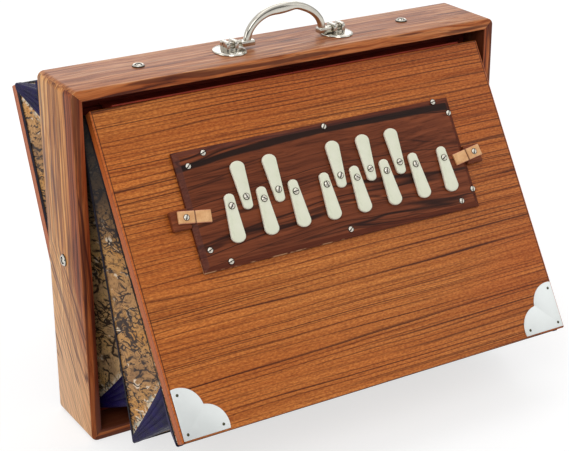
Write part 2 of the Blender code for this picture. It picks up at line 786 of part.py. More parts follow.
def corner_plate_outline(side):
    """Two equal lobes on the corner's two edges, symmetric about the corner's diagonal."""
    radius = CORNER_LOBE_RADIUS
    near = CORNER_LOBE_OFFSET
    far = math.sqrt(radius**2 - near**2)
    high = CORNER_PLATE_SIZE - far
    # The lobes cross on the diagonal, where both are this far from each edge.
    total = near + high
    notch = (total + math.sqrt(2 * radius**2 - (high - near) ** 2)) / 2
    start = math.degrees(math.atan2(far, -near))
    end = math.degrees(math.atan2(notch - high, notch - near))
    upper = arc((near, high), radius, radius, start, end, CORNER_LOBE_STEPS)
    lower = [(y, x) for x, y in reversed(upper[:-1])]
    outline = [(0.0, 0.0), *upper, *lower]
    return [(-side * x, y) for x, y in outline]


def corner_plates(board):
    for word, side in (("left", -1), ("right", 1)):
        name = "corner_plate_" + word
        curve = flat_curve(name, (corner_plate_outline(side),), CORNER_PLATE_THICKNESS)
        x = side * (BOARD_HALF_WIDTH - CORNER_PLATE_MARGIN)
        y = -BOARD_THICKNESS - GAP - CORNER_PLATE_THICKNESS / 2
        z = -BOARD_HEIGHT + CORNER_PLATE_MARGIN
        add_piece(name, curve, NICKEL, board, (x, y, z), (math.pi / 2, 0.0, 0.0))


def reed_bank(board):
    """A wooden pan with a chamber behind each tone hole and a brass reed over each chamber."""
    low_z = PLATE_HEIGHT_Z - PLATE_HALF_HEIGHT + REED_BANK_MARGIN
    high_z = PLATE_HEIGHT_Z + PLATE_HALF_HEIGHT - REED_BANK_MARGIN
    left = PLATE_OFFSET - PLATE_HALF_WIDTH + REED_BANK_MARGIN
    right = PLATE_OFFSET + PLATE_HALF_WIDTH - REED_BANK_MARGIN
    face = GAP + REED_BANK_THICKNESS
    pan = box_mesh("reed_bank", (left, GAP, low_z), (right, face, high_z), ARRIS)
    piece = add_piece("reed_bank", pan, PINE, board)
    plates = bmesh.new()
    slots = bmesh.new()
    tongues = bmesh.new()
    for number, x, z, direction, tilt in stop_places():
        hole_x, hole_z = tone_hole_place(x, z, direction, tilt)
        middle_z = z + direction * TONE_HOLE_DISTANCE
        riveted = middle_z + direction * REED_LENGTH / 2
        add_box(
            plates,
            (hole_x - REED_WIDTH / 2, face - REED_THICKNESS, middle_z - REED_LENGTH / 2),
            (hole_x + REED_WIDTH / 2, face + REED_THICKNESS, middle_z + REED_LENGTH / 2),
        )
        add_box(
            slots,
            (hole_x - REED_SLOT_WIDTH / 2, 0.0, middle_z - REED_SLOT_LENGTH / 2),
            (hole_x + REED_SLOT_WIDTH / 2, face + 2 * REED_THICKNESS, middle_z + REED_SLOT_LENGTH / 2),
        )
        tip = middle_z - direction * REED_SLOT_LENGTH / 2
        under = face + REED_THICKNESS + REED_TONGUE_LIFT
        root = riveted - direction * 2 * REED_TONGUE_WIDTH / 3
        foot = middle_z + direction * REED_SLOT_LENGTH / 2
        add_box(
            tongues,
            (hole_x - REED_TONGUE_WIDTH / 2, under, min(tip, root)),
            (hole_x + REED_TONGUE_WIDTH / 2, under + REED_TONGUE_THICKNESS, max(tip, root)),
        )
        add_box(
            tongues,
            (hole_x - REED_TONGUE_WIDTH, face, min(foot, root) + ARRIS),
            (hole_x + REED_TONGUE_WIDTH, under + 2 * REED_TONGUE_THICKNESS, max(foot, root) - ARRIS),
        )
    for word, form, operation in (
        ("reed_plates", plates, "UNION"),
        ("reed_slots", slots, "DIFFERENCE"),
    ):
        combine(piece, add_cutter(word, mesh_from(word, form), board), operation)
    tongue_cutter = add_cutter("reed_tongues", mesh_from("reed_tongues", tongues), board)
    weld = tongue_cutter.modifiers.new("weld", "WELD")
    weld.merge_threshold = 0.000001
    modifier = piece.modifiers.new("union_tongues", "BOOLEAN")
    modifier.operation = "UNION"
    modifier.solver = "EXACT"
    modifier.use_self = True
    modifier.object = tongue_cutter


def add_box(form, low, high):
    low = Vector(low)
    high = Vector(high)
    place = Matrix.Translation((low + high) / 2) @ Matrix.Diagonal((*(high - low), 1.0))
    bmesh.ops.create_cube(form, size=1.0, matrix=place)


# Back board and valves


def back_board(board):
    """The pumping board, in the frame of its hinge axis at the bottom, with a row of intake holes."""
    low = (-BOARD_HALF_WIDTH, 0.0, 0.0)
    high = (BOARD_HALF_WIDTH, BOARD_THICKNESS, BOARD_HEIGHT)
    piece = add_piece("back_board", box_mesh("back_board", low, high, ARRIS), TEAK_VENEER, board)
    ends = [
        ((x, -BOARD_THICKNESS, INTAKE_DISTANCE), (x, 2 * BOARD_THICKNESS, INTAKE_DISTANCE))
        for x in hole_row_x()
    ]
    holes = add_cutter(
        "intake_holes", cylinders_mesh("intake_holes", VALVE_HOLE_RADIUS, ends), board
    )
    combine(piece, holes, "DIFFERENCE")


def valve_flap(name, parent, location):
    """A leather flap that hangs from its upper edge, where its origin is, on the side towards -Y."""
    low = (-FLAP_HALF_WIDTH, -VALVE_FLAP_THICKNESS, -FLAP_HEIGHT)
    mesh = box_mesh(name, low, (FLAP_HALF_WIDTH, 0.0, 0.0), ARRIS / 2)
    add_piece(name, mesh, TAN_LEATHER, parent, location)


# Handle


def handle_plate(name, side):
    """An oval foot with a bored ear that takes one pin of the bail."""
    x = HANDLE_OFFSET + side * HANDLE_PLATE_SPACING / 2
    base_z = CASE_HEIGHT + GAP
    form = bmesh.new()
    lengths = (HANDLE_PLATE_HALF_LENGTH, HANDLE_PLATE_HALF_WIDTH, HANDLE_PLATE_THICKNESS)
    middle = Matrix.Translation((x, 0.0, base_z + HANDLE_PLATE_THICKNESS / 2))
    place = middle @ Matrix.Diagonal((*lengths, 1.0))
    taper = HANDLE_PLATE_TAPER
    bmesh.ops.create_cone(
        form, cap_ends=True, segments=28, radius1=1.0, radius2=taper, depth=1.0, matrix=place
    )
    piece = add_piece(name, mesh_from(name, form), CHROME)
    ear = box_form(
        (x - EAR_LENGTH / 2, -EAR_WIDTH / 2, base_z + HANDLE_PLATE_THICKNESS / 2),
        (x + EAR_LENGTH / 2, EAR_WIDTH / 2, base_z + EAR_HEIGHT),
    )

    def upper_edge(edge):
        return all(vert.co.z > base_z + EAR_HEIGHT - 1e-6 for vert in edge.verts)

    soften(ear, EAR_ROUND, 3, upper_edge)
    combine(piece, add_cutter(name + "_ear", mesh_from(name + "_ear", ear)), "UNION")
    radius = BAIL_PIN_RADIUS + BAIL_PIN_CLEARANCE
    ends = [((x - EAR_LENGTH, 0.0, HANDLE_PIVOT_Z), (x + EAR_LENGTH, 0.0, HANDLE_PIVOT_Z))]
    bore = add_cutter(name + "_bore", cylinders_mesh(name + "_bore", radius, ends, 12))
    combine(piece, bore, "DIFFERENCE")


def bail():
    """The grip: an arch with finger waves under it, a flat foot at each end and a pin in each ear."""
    # The pins leave it some play sideways, and it lies to the right.
    pivot_point = pivot("bail_pivot", (HANDLE_OFFSET + BAIL_SIDE_PLAY, 0.0, HANDLE_PIVOT_Z))
    ear_inner = HANDLE_PLATE_SPACING / 2 - EAR_LENGTH / 2
    foot_outer = ear_inner - BAIL_END_GAP
    foot_inner = foot_outer - BAIL_FOOT_LENGTH
    half_span = foot_inner + BAIL_LEG_INSET
    curve = bpy.data.curves.new("bail", "CURVE")
    curve.dimensions = "3D"
    curve.bevel_depth = 1.0
    curve.bevel_resolution = BAIL_SIDES_STEPS
    curve.use_fill_caps = True
    spline = curve.splines.new("POLY")
    spline.points.add(BAIL_POINTS)
    for step, point in enumerate(spline.points):
        angle = math.pi * step / BAIL_POINTS
        height = math.sin(angle)
        x = -half_span * math.cos(angle)
        bulge = math.exp(-(((x - BAIL_BULGE_OFFSET) / BAIL_BULGE_WIDTH) ** 2))
        hollow = math.exp(-(((x - BAIL_HOLLOW_OFFSET) / BAIL_HOLLOW_WIDTH) ** 2))
        radius = BAIL_LEG_RADIUS + (BAIL_GRIP_RADIUS - BAIL_LEG_RADIUS) * height**6
        radius += BAIL_WAVE * (bulge - hollow)
        centre_rise = BAIL_RISE - BAIL_GRIP_RADIUS
        # The grip thickens and waves on its underside only, so its centre line follows its radius.
        drop = (radius - BAIL_GRIP_RADIUS) * height**6
        point.co = (x, 0.0, centre_rise * height - drop, 1.0)
        point.radius = radius
    arch = as_mesh(add_piece("handle_bail", curve, CHROME, pivot_point))
    for word, side in (("left", -1), ("right", 1)):
        near = side * foot_inner
        far = side * foot_outer
        foot = box_form(
            (min(near, far), -BAIL_FOOT_WIDTH / 2, -BAIL_FOOT_THICKNESS / 2),
            (max(near, far), BAIL_FOOT_WIDTH / 2, BAIL_FOOT_THICKNESS / 2),
        )
        soften(foot, ARRIS)
        combine(arch, add_cutter("foot_" + word, mesh_from("foot_" + word, foot), pivot_point), "UNION")
        tip = side * (HANDLE_PLATE_SPACING / 2 + EAR_LENGTH / 2 - GAP) - BAIL_SIDE_PLAY
        start = far - side * BAIL_FOOT_LENGTH / 4
        pin = cylinders_mesh("pin_" + word, BAIL_PIN_RADIUS, [((start, 0, 0), (tip, 0, 0))], 10)
        combine(arch, add_cutter("pin_" + word, pin, pivot_point), "UNION")
    smooth(arch, 40.0)


def build():
    rail("case_top", True)
    rail("case_bottom", False)
    side_rail("case_left", -1)
    side_rail("case_right", 1)
    partition()
    front_hinge = pivot("front_hinge_axis", (0.0, -HINGE_Y, FRONT_HINGE_Z))
    back_hinge = pivot("back_hinge_axis", (0.0, HINGE_Y, BACK_HINGE_Z), (math.pi, 0.0, 0.0))
    bellows("front", front_hinge, FRONT_OPEN)
    bellows("back", back_hinge, BACK_OPEN)
    front_swing = pivot("front_board_swing", (0.0, -HINGE_Y, FRONT_HINGE_Z), (-FRONT_OPEN, 0.0, 0.0))
    front_board(front_swing)
    stops(front_swing)
    finger_pulls(front_swing)
    corner_plates(front_swing)
    reed_bank(front_swing)
    back_swing = pivot("back_board_swing", (0.0, HINGE_Y, BACK_HINGE_Z), (-BACK_OPEN, 0.0, 0.0))
    back_board(back_swing)
    valve_flap("transfer_flap", None, (0.0, -PARTITION_FACE - GAP, VALVE_HEIGHT + FLAP_HEIGHT / 2))
    valve_flap("intake_flap", back_swing, (0.0, -GAP, INTAKE_DISTANCE + FLAP_HEIGHT / 2))
    handle_plate("handle_plate_left", -1)
    handle_plate("handle_plate_right", 1)
    bail()


build()
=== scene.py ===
"""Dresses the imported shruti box: woods, marbled bellows paper, leathers, metal and small fasteners."""

from functools import partialmethod
from math import acos, asin, atan2, copysign, cos, degrees, exp, hypot, pi, radians, sin, sqrt

import bmesh
import bpy
from mathutils import Matrix, Vector, noise


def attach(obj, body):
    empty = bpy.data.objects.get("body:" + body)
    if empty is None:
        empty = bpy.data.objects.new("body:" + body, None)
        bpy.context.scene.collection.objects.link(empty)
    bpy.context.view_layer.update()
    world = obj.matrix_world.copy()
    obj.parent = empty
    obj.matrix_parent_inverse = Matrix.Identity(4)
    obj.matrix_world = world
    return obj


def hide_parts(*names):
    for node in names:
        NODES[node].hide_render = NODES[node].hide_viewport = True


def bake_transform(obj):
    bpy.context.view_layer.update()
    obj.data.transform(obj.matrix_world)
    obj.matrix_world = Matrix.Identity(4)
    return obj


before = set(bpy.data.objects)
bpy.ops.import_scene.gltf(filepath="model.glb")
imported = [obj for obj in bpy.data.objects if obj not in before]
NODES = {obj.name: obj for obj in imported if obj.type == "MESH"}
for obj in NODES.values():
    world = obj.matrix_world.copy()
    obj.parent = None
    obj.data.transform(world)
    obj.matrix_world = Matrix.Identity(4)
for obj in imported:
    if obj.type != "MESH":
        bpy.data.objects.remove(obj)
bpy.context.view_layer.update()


def at(x, y, z):
    return Matrix.Translation((x, y, z))


def turned(angle, axis):
    return Matrix.Rotation(radians(angle), 4, axis)


def spread(start, end, count):
    """Evenly spread values in this many steps from start to end."""
    return [start + (end - start) * step / count for step in range(count + 1)]


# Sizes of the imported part, in metres
GAP = 0.0003
CASE_WIDTH, CASE_HEIGHT, CASE_DEPTH = 0.4, 0.302, 0.066
RAIL = 0.009
CORNER_RADIUS = 0.0058
HINGE_Y = 0.0215
FRONT_HINGE_Z, BACK_HINGE_Z = 0.2785, 0.0235
FRAME_FACE = 0.0083
PARTITION_FACE = 0.004
FRONT_OPEN, BACK_OPEN = 32.2, 22.7  # degrees
BOARD_HALF_WIDTH, BOARD_HEIGHT, BOARD_THICKNESS = 0.1845, 0.261, 0.01
PLATE_TOP_Y = -0.0153
PLATE_LOW_Z, PLATE_HIGH_Z = -0.142, -0.045
PLATE_LEFT, PLATE_RIGHT = -0.13, 0.134
STOP_THICKNESS = 0.003
STOP_PITCH = 0.0292
HANDLE_X, BAIL_X, HANDLE_PIVOT_Z = 0.0062, 0.0074, 0.3082
HANDLE_PLATE_SPACING = 0.103
RIB_INSET, CREST_OVERHANG = 0.015, 0.0025

# Hinge axes as origins, as the case stands and as the boards hang at rest
FRONT_AXIS = at(0, -HINGE_Y, FRONT_HINGE_Z)
BACK_AXIS = at(0, HINGE_Y, BACK_HINGE_Z) @ turned(180, "X")
FRONT_SWING = FRONT_AXIS @ turned(-FRONT_OPEN, "X")
BACK_SWING = at(0, HINGE_Y, BACK_HINGE_Z) @ turned(-BACK_OPEN, "X")
UPRIGHT = Matrix.Identity(4)
SIDES = ("left", -1), ("right", 1)


def shade(colour):
    """The linear colour of an sRGB one from 0 to 255."""
    if isinstance(colour, Value) or len(colour) == 4:
        return colour
    parts = [value / 255 for value in colour]
    return (*[part / 12.92 if part <= 0.04045 else ((part + 0.055) / 1.055) ** 2.4 for part in parts], 1)


def add_node(tree, kind, values=None, **settings):
    made = tree.nodes.new("ShaderNode" + kind)
    for key, value in settings.items():
        setattr(made, key, value)
    for key, value in (values or {}).items():
        if isinstance(value, Value):
            tree.links.new(value.socket, made.inputs[key])
        else:
            made.inputs[key].default_value = value
    return made


class Value:
    """An output of a node. Arithmetic adds the nodes for it, and a | b is the higher of the two."""

    def __init__(self, socket):
        self.socket = socket

    def node(self, kind, values, output=0, **settings):
        return Value(add_node(self.socket.id_data, kind, values, **settings).outputs[output])

    def maths(self, operation, other=0):
        return self.node("Math", {0: self, 1: other}, operation=operation)

    __add__ = partialmethod(maths, "ADD")
    __sub__ = partialmethod(maths, "SUBTRACT")
    __mul__ = partialmethod(maths, "MULTIPLY")
    __or__ = partialmethod(maths, "MAXIMUM")
    __abs__ = partialmethod(maths, "ABSOLUTE")

    def __rsub__(self, other):
        return self.node("Math", {0: other, 1: self}, operation="SUBTRACT")

    def span(self, low, high, to_low=0, to_high=1, kind="SMOOTHSTEP"):
        values = {0: self, 1: low, 2: high, 3: to_low, 4: to_high}
        return self.node("MapRange", values, interpolation_type=kind)

    def axes(self):
        return [self.node("SeparateXYZ", {0: self}, axis) for axis in range(3)]

    def scaled(self, *scale):
        return self.node("Mapping", {0: self, "Scale": scale})

    def noise(self, scale=1, detail=3, roughness=0.55, distortion=0):
        values = {"Vector": self, "Scale": scale, "Detail": detail, "Roughness": roughness}
        return self.node("TexNoise", {**values, "Distortion": distortion}, "Fac")

    def cracks(self, scale):
        values = {"Vector": self, "Scale": scale}
        return self.node("TexVoronoi", values, "Distance", feature="DISTANCE_TO_EDGE")

    def warp(self, scale, amount):
        """Moves the coordinates about by up to half of amount."""
        colour = self.node("TexNoise", {"Vector": self, "Scale": scale, "Detail": 2}, "Color")
        centred = colour.node("VectorMath", {0: colour, 1: (0.5, 0.5, 0.5)}, operation="SUBTRACT")
        sized = centred.node("VectorMath", {0: centred, "Scale": amount}, operation="SCALE")
        return sized.node("VectorMath", {0: self, 1: sized})

    def ramp(self, *stops):
        made = add_node(self.socket.id_data, "ValToRGB", {"Fac": self})
        elements = made.color_ramp.elements
        while len(elements) < len(stops):
            elements.new(0.5)
        for element, (position, colour) in zip(elements, stops):
            element.position = position
            element.color = shade(colour)
        return Value(made.outputs["Color"])

    def mix(self, share, first, second, mode="MIX"):
        values = {0: share, 6: shade(first), 7: shade(second)}
        return self.node("Mix", values, 2, data_type="RGBA", blend_type=mode)

    def lay(self, share, colour):
        return self.mix(share, self, colour)

    def tint(self, share, colour):
        return self.mix(share, self, colour, "MULTIPLY")


class Look:
    """A material, with its place in metres seen from a matrix."""

    def __init__(self, name, matrix=UPRIGHT, metallic=0, shine=0.5):
        self.material = bpy.data.materials.new(name)
        self.material.use_nodes = True
        self.tree = self.material.node_tree
        self.inputs = self.tree.nodes["Principled BSDF"].inputs
        self.inputs["Metallic"].default_value = metallic
        self.inputs["Specular IOR Level"].default_value = shine
        place, back = self.source("TexCoord", "Object"), matrix.inverted()
        values = {0: place, "Location": back.to_translation(), "Rotation": back.to_euler()}
        self.place = place.node("Mapping", values)

    def source(self, kind, output, **settings):
        return Value(add_node(self.tree, kind, **settings).outputs[output])

    def surface(self, rough, low, high, height, distance):
        """Roughness that runs from low to high, and a bump."""
        self.tree.links.new(rough.span(0.25, 0.75, low, high).socket, self.inputs["Roughness"])
        values = {"Height": height, "Distance": distance, "Strength": 1}
        self.tree.links.new(height.node("Bump", values).socket, self.inputs["Normal"])

    def coloured(self, base):
        self.tree.links.new(base.socket, self.inputs["Base Color"])
        return self.material


# Woods


def wood(name, matrix, along, tones, grain, contrast=1, gloss=0.42, pore_share=0.45, shine=0.2):
    """Varnished wood with figure, lines and pores along an axis; the first tone is the darkest."""
    look = Look(name, matrix, shine=shine)
    look.inputs["Coat Weight"].default_value = shine / 6
    look.inputs["Coat Roughness"].default_value = 0.2
    broad, fine, warp, stretches = grain
    bent = look.place.warp(7, warp)
    drawn_out = []
    for across, stretch in zip((broad, fine, fine * 2.4), stretches):
        drawn_out.append(bent.scaled(*[across / stretch if axis == along else across for axis in range(3)]))
    figure = drawn_out[0].noise(1, 3, 0.6, 0.4)
    lines = drawn_out[1].noise(1, 4, 0.65)
    pores = drawn_out[2].noise(1, 2, 0.6)
    shown = (lines * 0.55 + figure * 0.45).span(0.5 - 0.2 / contrast, 0.5 + 0.2 / contrast, kind="LINEAR")
    base = shown.ramp(*[(index / (len(tones) - 1), colour) for index, colour in enumerate(tones)])
    specks = pores.span(0.56, 0.68, 0, pore_share)
    look.surface(lines, gloss + 0.08, gloss - 0.06, lines - specks, 0.00014)
    return look, base.lay(specks, tones[0])


def case_wood(name, along):
    """Teak: tan sides, a pinker top, redder front and back edges, stained inside."""
    tones = (100, 52, 26), (188, 118, 58), (230, 164, 92), (250, 200, 132)
    look, base = wood(name, UPRIGHT, along, tones, (85, 330, 0.02, (45, 60, 25)), 1.5, 0.4)
    x, y, z = look.place.axes()
    normal = look.source("TexCoord", "Normal").axes()
    upward = normal[2].span(0.3, 0.95)
    fore = abs(normal[1]).span(0.4, 0.9)
    sideways = 1 - fore
    upright = along == 2
    streaked = look.place
    if upright:
        # Low down on the side rails, the streaks lean forward.
        lean = (0.16 - z | 0) * sideways * 0.7 + y
        streaked = x.node("CombineXYZ", {0: x, 1: lean, 2: z})

    def streaks(warp, amount, length, width, roughness):
        sizes = [length if axis == along else width for axis in range(3)]
        return streaked.warp(warp, amount).scaled(*sizes).noise(1, 2, roughness)

    streak = streaks(5, 0.02, 2, 75, 0.4)
    lines = abs(streak - 0.52).span(0, 0.026, 0.9, 0)
    # Painted light: the sides are lighter low down.
    if upright:
        base = base.lay(z.span(0.03, 0.17, 0.55, 0) * sideways, (250, 202, 156))
    base = base.lay(lines * upward.span(0, 1, 1, 0.55), (98, 50, 36))
    # Closer dark lines, strongest on the front and back edges
    close = streaks(6, 0.01, 4, 240, 0.5).span(0.42, 0.53, 1, 0)
    base = base.lay(close * (fore * 0.5 + upward.span(0, 1, 0.25, 0.15)), (84, 40, 28))
    # The sides are darker and redder towards the front edge, less so low down.
    if upright:
        toward_front = (streak * 0.03 + y).span(-0.012, 0.002, 0.8, 0) * z.span(0.03, 0.13, 0.25, 1)
        base = base.tint(toward_front * sideways, (200, 138, 104))
    base = base.tint(upward * 0.75, (188, 156, 168)).tint(fore * 0.9, (214, 168, 162))
    if upright:
        base = base.tint(abs(x).span(0.1925, 0.1975, 0.8, 0) * fore, (206, 164, 160))
    # The inner faces are stained dark.
    inner = abs(x).span(0.1911, 0.1914, 1, 0) * abs(z - CASE_HEIGHT / 2).span(0.1421, 0.1424, 0.94, 0)
    return look.coloured(base.lay(inner, base.mix(lines, (92, 44, 27), (52, 24, 16))))


def veneer(name, matrix, outer_sign):
    """Straight orange brown veneer on a board with a solid lipping round its edge."""
    tones = (118, 56, 20), (184, 105, 43), (217, 135, 63), (236, 162, 80)
    look, base = wood(name, matrix, 0, tones, (260, 430, 0.002, (130, 100, 16)), 0.65, 0.4, 0.4)
    x, y, z = look.place.axes()
    # Thin dark lines, nearly as long as the leaf
    bent = look.place.warp(5, 0.004)
    for length, density, wander, width, share in ((1.3, 120, 2.6, 0.1, 0.95), (2, 270, 5, 0.18, 0.75)):
        rows = bent.scaled(length, 45, 45).noise(1, 2) * wander + bent.axes()[2] * density
        fading = bent.scaled(length * 3, density, density).noise(1, 1).span(0.34, 0.56)
        line = abs(rows.maths("FRACT") - 0.5).span(0, width, share, 0)
        base = base.lay(line * fading, (72, 26, 8))
    # Short fine streaks, and golden and redder parts
    fine = look.place.scaled(330, 900, 900).noise(1, 1)
    base = base.tint(fine.span(0.36, 0.64, 0, 0.7), (206, 178, 160))
    wide = look.place.scaled(5, 14, 14).noise(1, 1)
    base = base.tint(wide.span(0.35, 0.65, 0, 0.5), (250, 222, 190))
    # Painted shade: the board is darker and redder towards the right and near the top.
    upper = z.span(-0.05, -0.005, 0, 0.5) * x.span(-0.14, 0)
    base = base.tint(x.span(0, 0.18, 0, 0.4) | upper, (224, 194, 188))
    # The lipping, the dark line beside it and the joint with the leaf
    depth = y * outer_sign
    core = depth.span(BOARD_THICKNESS - 0.0026, BOARD_THICKNESS - 0.0022, 1, 0) * depth.span(0.0004, 0.0008)
    base = base.lay(core, base.lay(0.75, (178, 92, 42)))
    past = abs(x) - (BOARD_HALF_WIDTH - 0.0016)
    base = base.lay(past.span(0, 0.0003, 0, 0.55), (196, 98, 42))
    base = base.lay(abs(past).span(0.0002, 0.0006, 0.85, 0), (58, 26, 14))
    joint = abs(depth - (BOARD_THICKNESS - 0.0024))
    return look.coloured(base.lay(joint.span(0.0001, 0.0005, 0.8, 0), (54, 24, 14)))


def rosewood(name, matrix, with_band=False):
    """Dark wood whose black lines arch across the plate and hardly show on the blocks."""
    tones = (54, 23, 13), (104, 51, 29), (130, 67, 39), (150, 82, 47)
    grain = (90, 360, 0.02, (30, 45, 25))
    look, base = wood(name, matrix, 0, tones, grain, 1, 0.38, 0.45, 0.12)
    x, y, z = look.place.warp(9, 0.012).axes()
    arched = x.node("CombineXYZ", {0: x, 1: y, 2: z + x * (x * 0.6)})
    for length, scale, width, share in ((1.6, 52, 0.022, 0.9), (1.5, 84, 0.016, 0.65)):
        line = abs(arched.scaled(length, scale, scale).noise(1, 1.5) - 0.5)
        base = base.lay(line.span(0, width, share if with_band else share * 0.4, 0), (32, 15, 12))
    if not with_band:
        return look.coloured(base)
    # One black streak arches along the upper edge of the plate.
    x, y, z = look.place.warp(30, 0.003).axes()
    across = (x - 0.04) * (1 / 0.16)
    away = abs(z - (across * across * -0.0075 + -0.0507)) + x.span(-0.11, 0, 0.001, 0)
    base = base.lay(away.span(0.0026, 0.0042, 0.93, 0), (25, 16, 14))
    # Painted shade on the bevels, with the lower and left arrises worn pale
    x, y, z = look.place.axes()
    past_x = abs(x - (PLATE_LEFT + PLATE_RIGHT) / 2) - (PLATE_RIGHT - PLATE_LEFT) / 2
    past_z = abs(z - (PLATE_LOW_Z + PLATE_HIGH_Z) / 2) - (PLATE_HIGH_Z - PLATE_LOW_Z) / 2
    base = base.lay((past_x | past_z).span(-0.0047, -0.0041, 0, 0.6), (80, 30, 17))
    low_side = z.span(PLATE_LOW_Z + 0.0009, PLATE_LOW_Z + 0.0004) * x.span(-0.03, 0.02, 0.9, 0)
    foot = y.span(PLATE_TOP_Y + 0.0038, PLATE_TOP_Y + 0.0043)
    left_side = x.span(PLATE_LEFT + 0.0003, PLATE_LEFT + 0.0001) * foot
    worn = look.place.noise(70, 2).span(0.46, 0.54) * (low_side | left_side)
    return look.coloured(base.lay(worn * 0.8, (206, 158, 116)))


def plain_wood(name, *tones):
    look, base = wood(name, UPRIGHT, 0, tones, (50, 300, 0.02, (14, 40, 30)), 1, 0.6)
    return look.coloured(base)


# Bellows paper and leathers


def bellows_paper(name, matrix):
    """Clouded gold paper with a black crackle, worn white beside the leathers."""
    look = Look(name, matrix, 0.2)
    paper = look.place
    for scale, amount in ((30, 0.016), (170, 0.0045), (700, 0.0012)):
        paper = paper.warp(scale, amount)

    def patches(scale, low, high, detail=2):
        return paper.noise(scale, detail).span(low, high)

    golds = (0.32, (172, 138, 100)), (0.45, (206, 168, 120)), (0.56, (216, 174, 114)), (0.68, (222, 168, 90))
    base = paper.noise(34, 3, 0.6).ramp(*golds)
    fine = paper.noise(620, 2, 0.6)
    base = base.lay(fine.span(0.48, 0.68, 0, 0.7), (122, 92, 62))
    # Painted shade: the outer half of the ribs, from the crest to the board, is tinted darker.
    outer_half_shade = look.source("Attribute", "Fac", attribute_name="share").span(0.49, 0.51)
    base = base.tint(outer_half_shade, (230, 212, 188))
    drawn_out = paper.scaled(1, 1, 1.7)
    crackle = drawn_out.cracks(52)
    lines = crackle.span(0.025, 0.09, 1, 0) * patches(75, 0.46, 0.54)
    threads = drawn_out.cracks(170).span(0.05, 0.17, 1, 0) * patches(60, 0.48, 0.56)
    spots = drawn_out.noise(260, 3, 0.65).span(0.55, 0.59) * patches(42, 0.4, 0.54, 1)
    # Broken black creases across the ribs, with bare paper beside them
    rows = paper.noise(24, 2) * 1.6 + paper.axes()[2] * 27
    from_crease = abs(rows.maths("FRACT") - 0.5)
    creased = patches(48, 0.46, 0.52, 1)
    black = lines | threads | spots | from_crease.span(0.01, 0.034, 1, 0) * creased
    base = base.lay(black * 0.95, (26, 14, 20))
    beside = from_crease.span(0.05, 0.08, 1, 0) * creased | crackle.span(0.05, 0.08, 1, 0)
    rubbed = beside * patches(95, 0.58, 0.62) * (1 - black)
    base = base.lay(rubbed * 0.85, (240, 226, 204))
    worn = look.source("Attribute", "Fac", attribute_name="worn") * patches(330, 0.44, 0.53)
    base = base.lay(worn, (238, 230, 208))
    # Painted shade inside the case and near the hinge, darkest close to the hinge.
    _, y, z = look.place.axes()
    inside = y.span(-0.01, -0.003) * z.span(-0.125, -0.055, 0, 0.95) | abs(z).span(0.05, 0.12, 0.92, 0)
    look.surface(fine, 0.36, 0.55, fine - black * 0.4, 0.00018)
    return look.coloured(base.lay(inside, (20, 11, 9)))


def leather(name, dark, light, scale=900, roughness=0.55, shine=0.22):
    look = Look(name, shine=shine)
    cells = look.place.warp(300, 0.001).cracks(scale)
    clouds = look.place.noise(120, 4, 0.6)
    look.surface(clouds, roughness - 0.06, roughness + 0.1, cells.span(0, 0.2) * 0.6 + clouds, 0.00025)
    return look.coloured(clouds.ramp((0.32, dark), (0.68, light)).lay(cells.span(0, 0.08, 0.35, 0), dark))


def pull_leather(name):
    """Tan leather, creased across its middle with painted shade in the crease, and pink where it was cut."""
    look = Look(name)
    clouds = look.place.noise(160, 4, 0.6)
    pores = look.place.noise(1500, 2)
    base = clouds.ramp((0.3, (212, 152, 96)), (0.7, (238, 186, 130)))
    base = base.lay(pores.span(0.55, 0.7, 0, 0.4), (190, 126, 76))
    x, y, _ = look.place.axes()
    base = base.lay(abs(y).span(0.0044, 0.0048) * 0.8, (206, 132, 108))
    look.surface(clouds, 0.42, 0.56, pores * 0.5 + clouds, 0.0002)
    # Painted shade along the crease.
    return look.coloured(base.lay(abs(x - 0.0004).span(0.0003, 0.0009, 0.85, 0), (108, 58, 34)))


# Plastic and metals


def ivory(name):
    """Pale green plastic whose rounded rim is cream, lightened further as a painted highlight."""
    look = Look(name, shine=0.4)
    clouds = look.place.noise(110, 2)
    base = clouds.ramp((0.3, (228, 230, 204)), (0.7, (236, 236, 214)))
    look.surface(clouds, 0.26, 0.34, clouds, 0.00005)
    # The rim's colour is cream with a painted highlight.
    return look.coloured(base.lay(look.place.axes()[2].span(0.00095, 0.00145, 0.9, 0), (250, 243, 222)))


def metal(name, colour, low, high, scratches=0.00003, metallic=1, dulled=0.86):
    look = Look(name, metallic=metallic)
    colour = shade(colour)
    dull = (*[dulled * value for value in colour[:3]], 1)
    clouds = look.place.noise(90, 3)
    brushed = look.place.scaled(60, 1400, 1400).noise(1, 2)
    look.surface(brushed * 0.5 + clouds * 0.5, low, high, brushed, scratches)
    return look.coloured(clouds.ramp((0.3, dull), (0.7, colour)))


TEAK_X = case_wood("teak_lengthwise", 0)
TEAK_Z = case_wood("teak_upright", 2)
FRONT_VENEER = veneer("front_veneer", FRONT_SWING, -1)
BACK_VENEER = veneer("back_veneer", BACK_SWING, 1)
ROSEWOOD = rosewood("rosewood_plate", FRONT_SWING, True)
ROSEWOOD_BLOCK = rosewood("rosewood_block", FRONT_SWING)
INNER_WOOD = plain_wood("inner_wood", (96, 66, 44), (140, 102, 70), (166, 126, 90))
STAINED = plain_wood("stained_wood", (70, 20, 12), (110, 34, 20), (140, 50, 30))
PAPER_FRONT = bellows_paper("marbled_paper_front", FRONT_AXIS)
PAPER_BACK = bellows_paper("marbled_paper_back", BACK_AXIS)
BLUE = leather("blue_leather", (16, 8, 48), (30, 18, 82), 700, 0.34, 0.26)
BLACK_BINDING = leather("black_binding", (16, 12, 22), (34, 28, 44), 900, 0.5)
BROWN = leather("brown_leather", (122, 38, 23), (158, 58, 36), 900, 0.6)
TAN = leather("tan_leather", (206, 142, 84), (238, 188, 130), 1100, 0.5)
PULL_LEATHER = pull_leather("pull_leather")
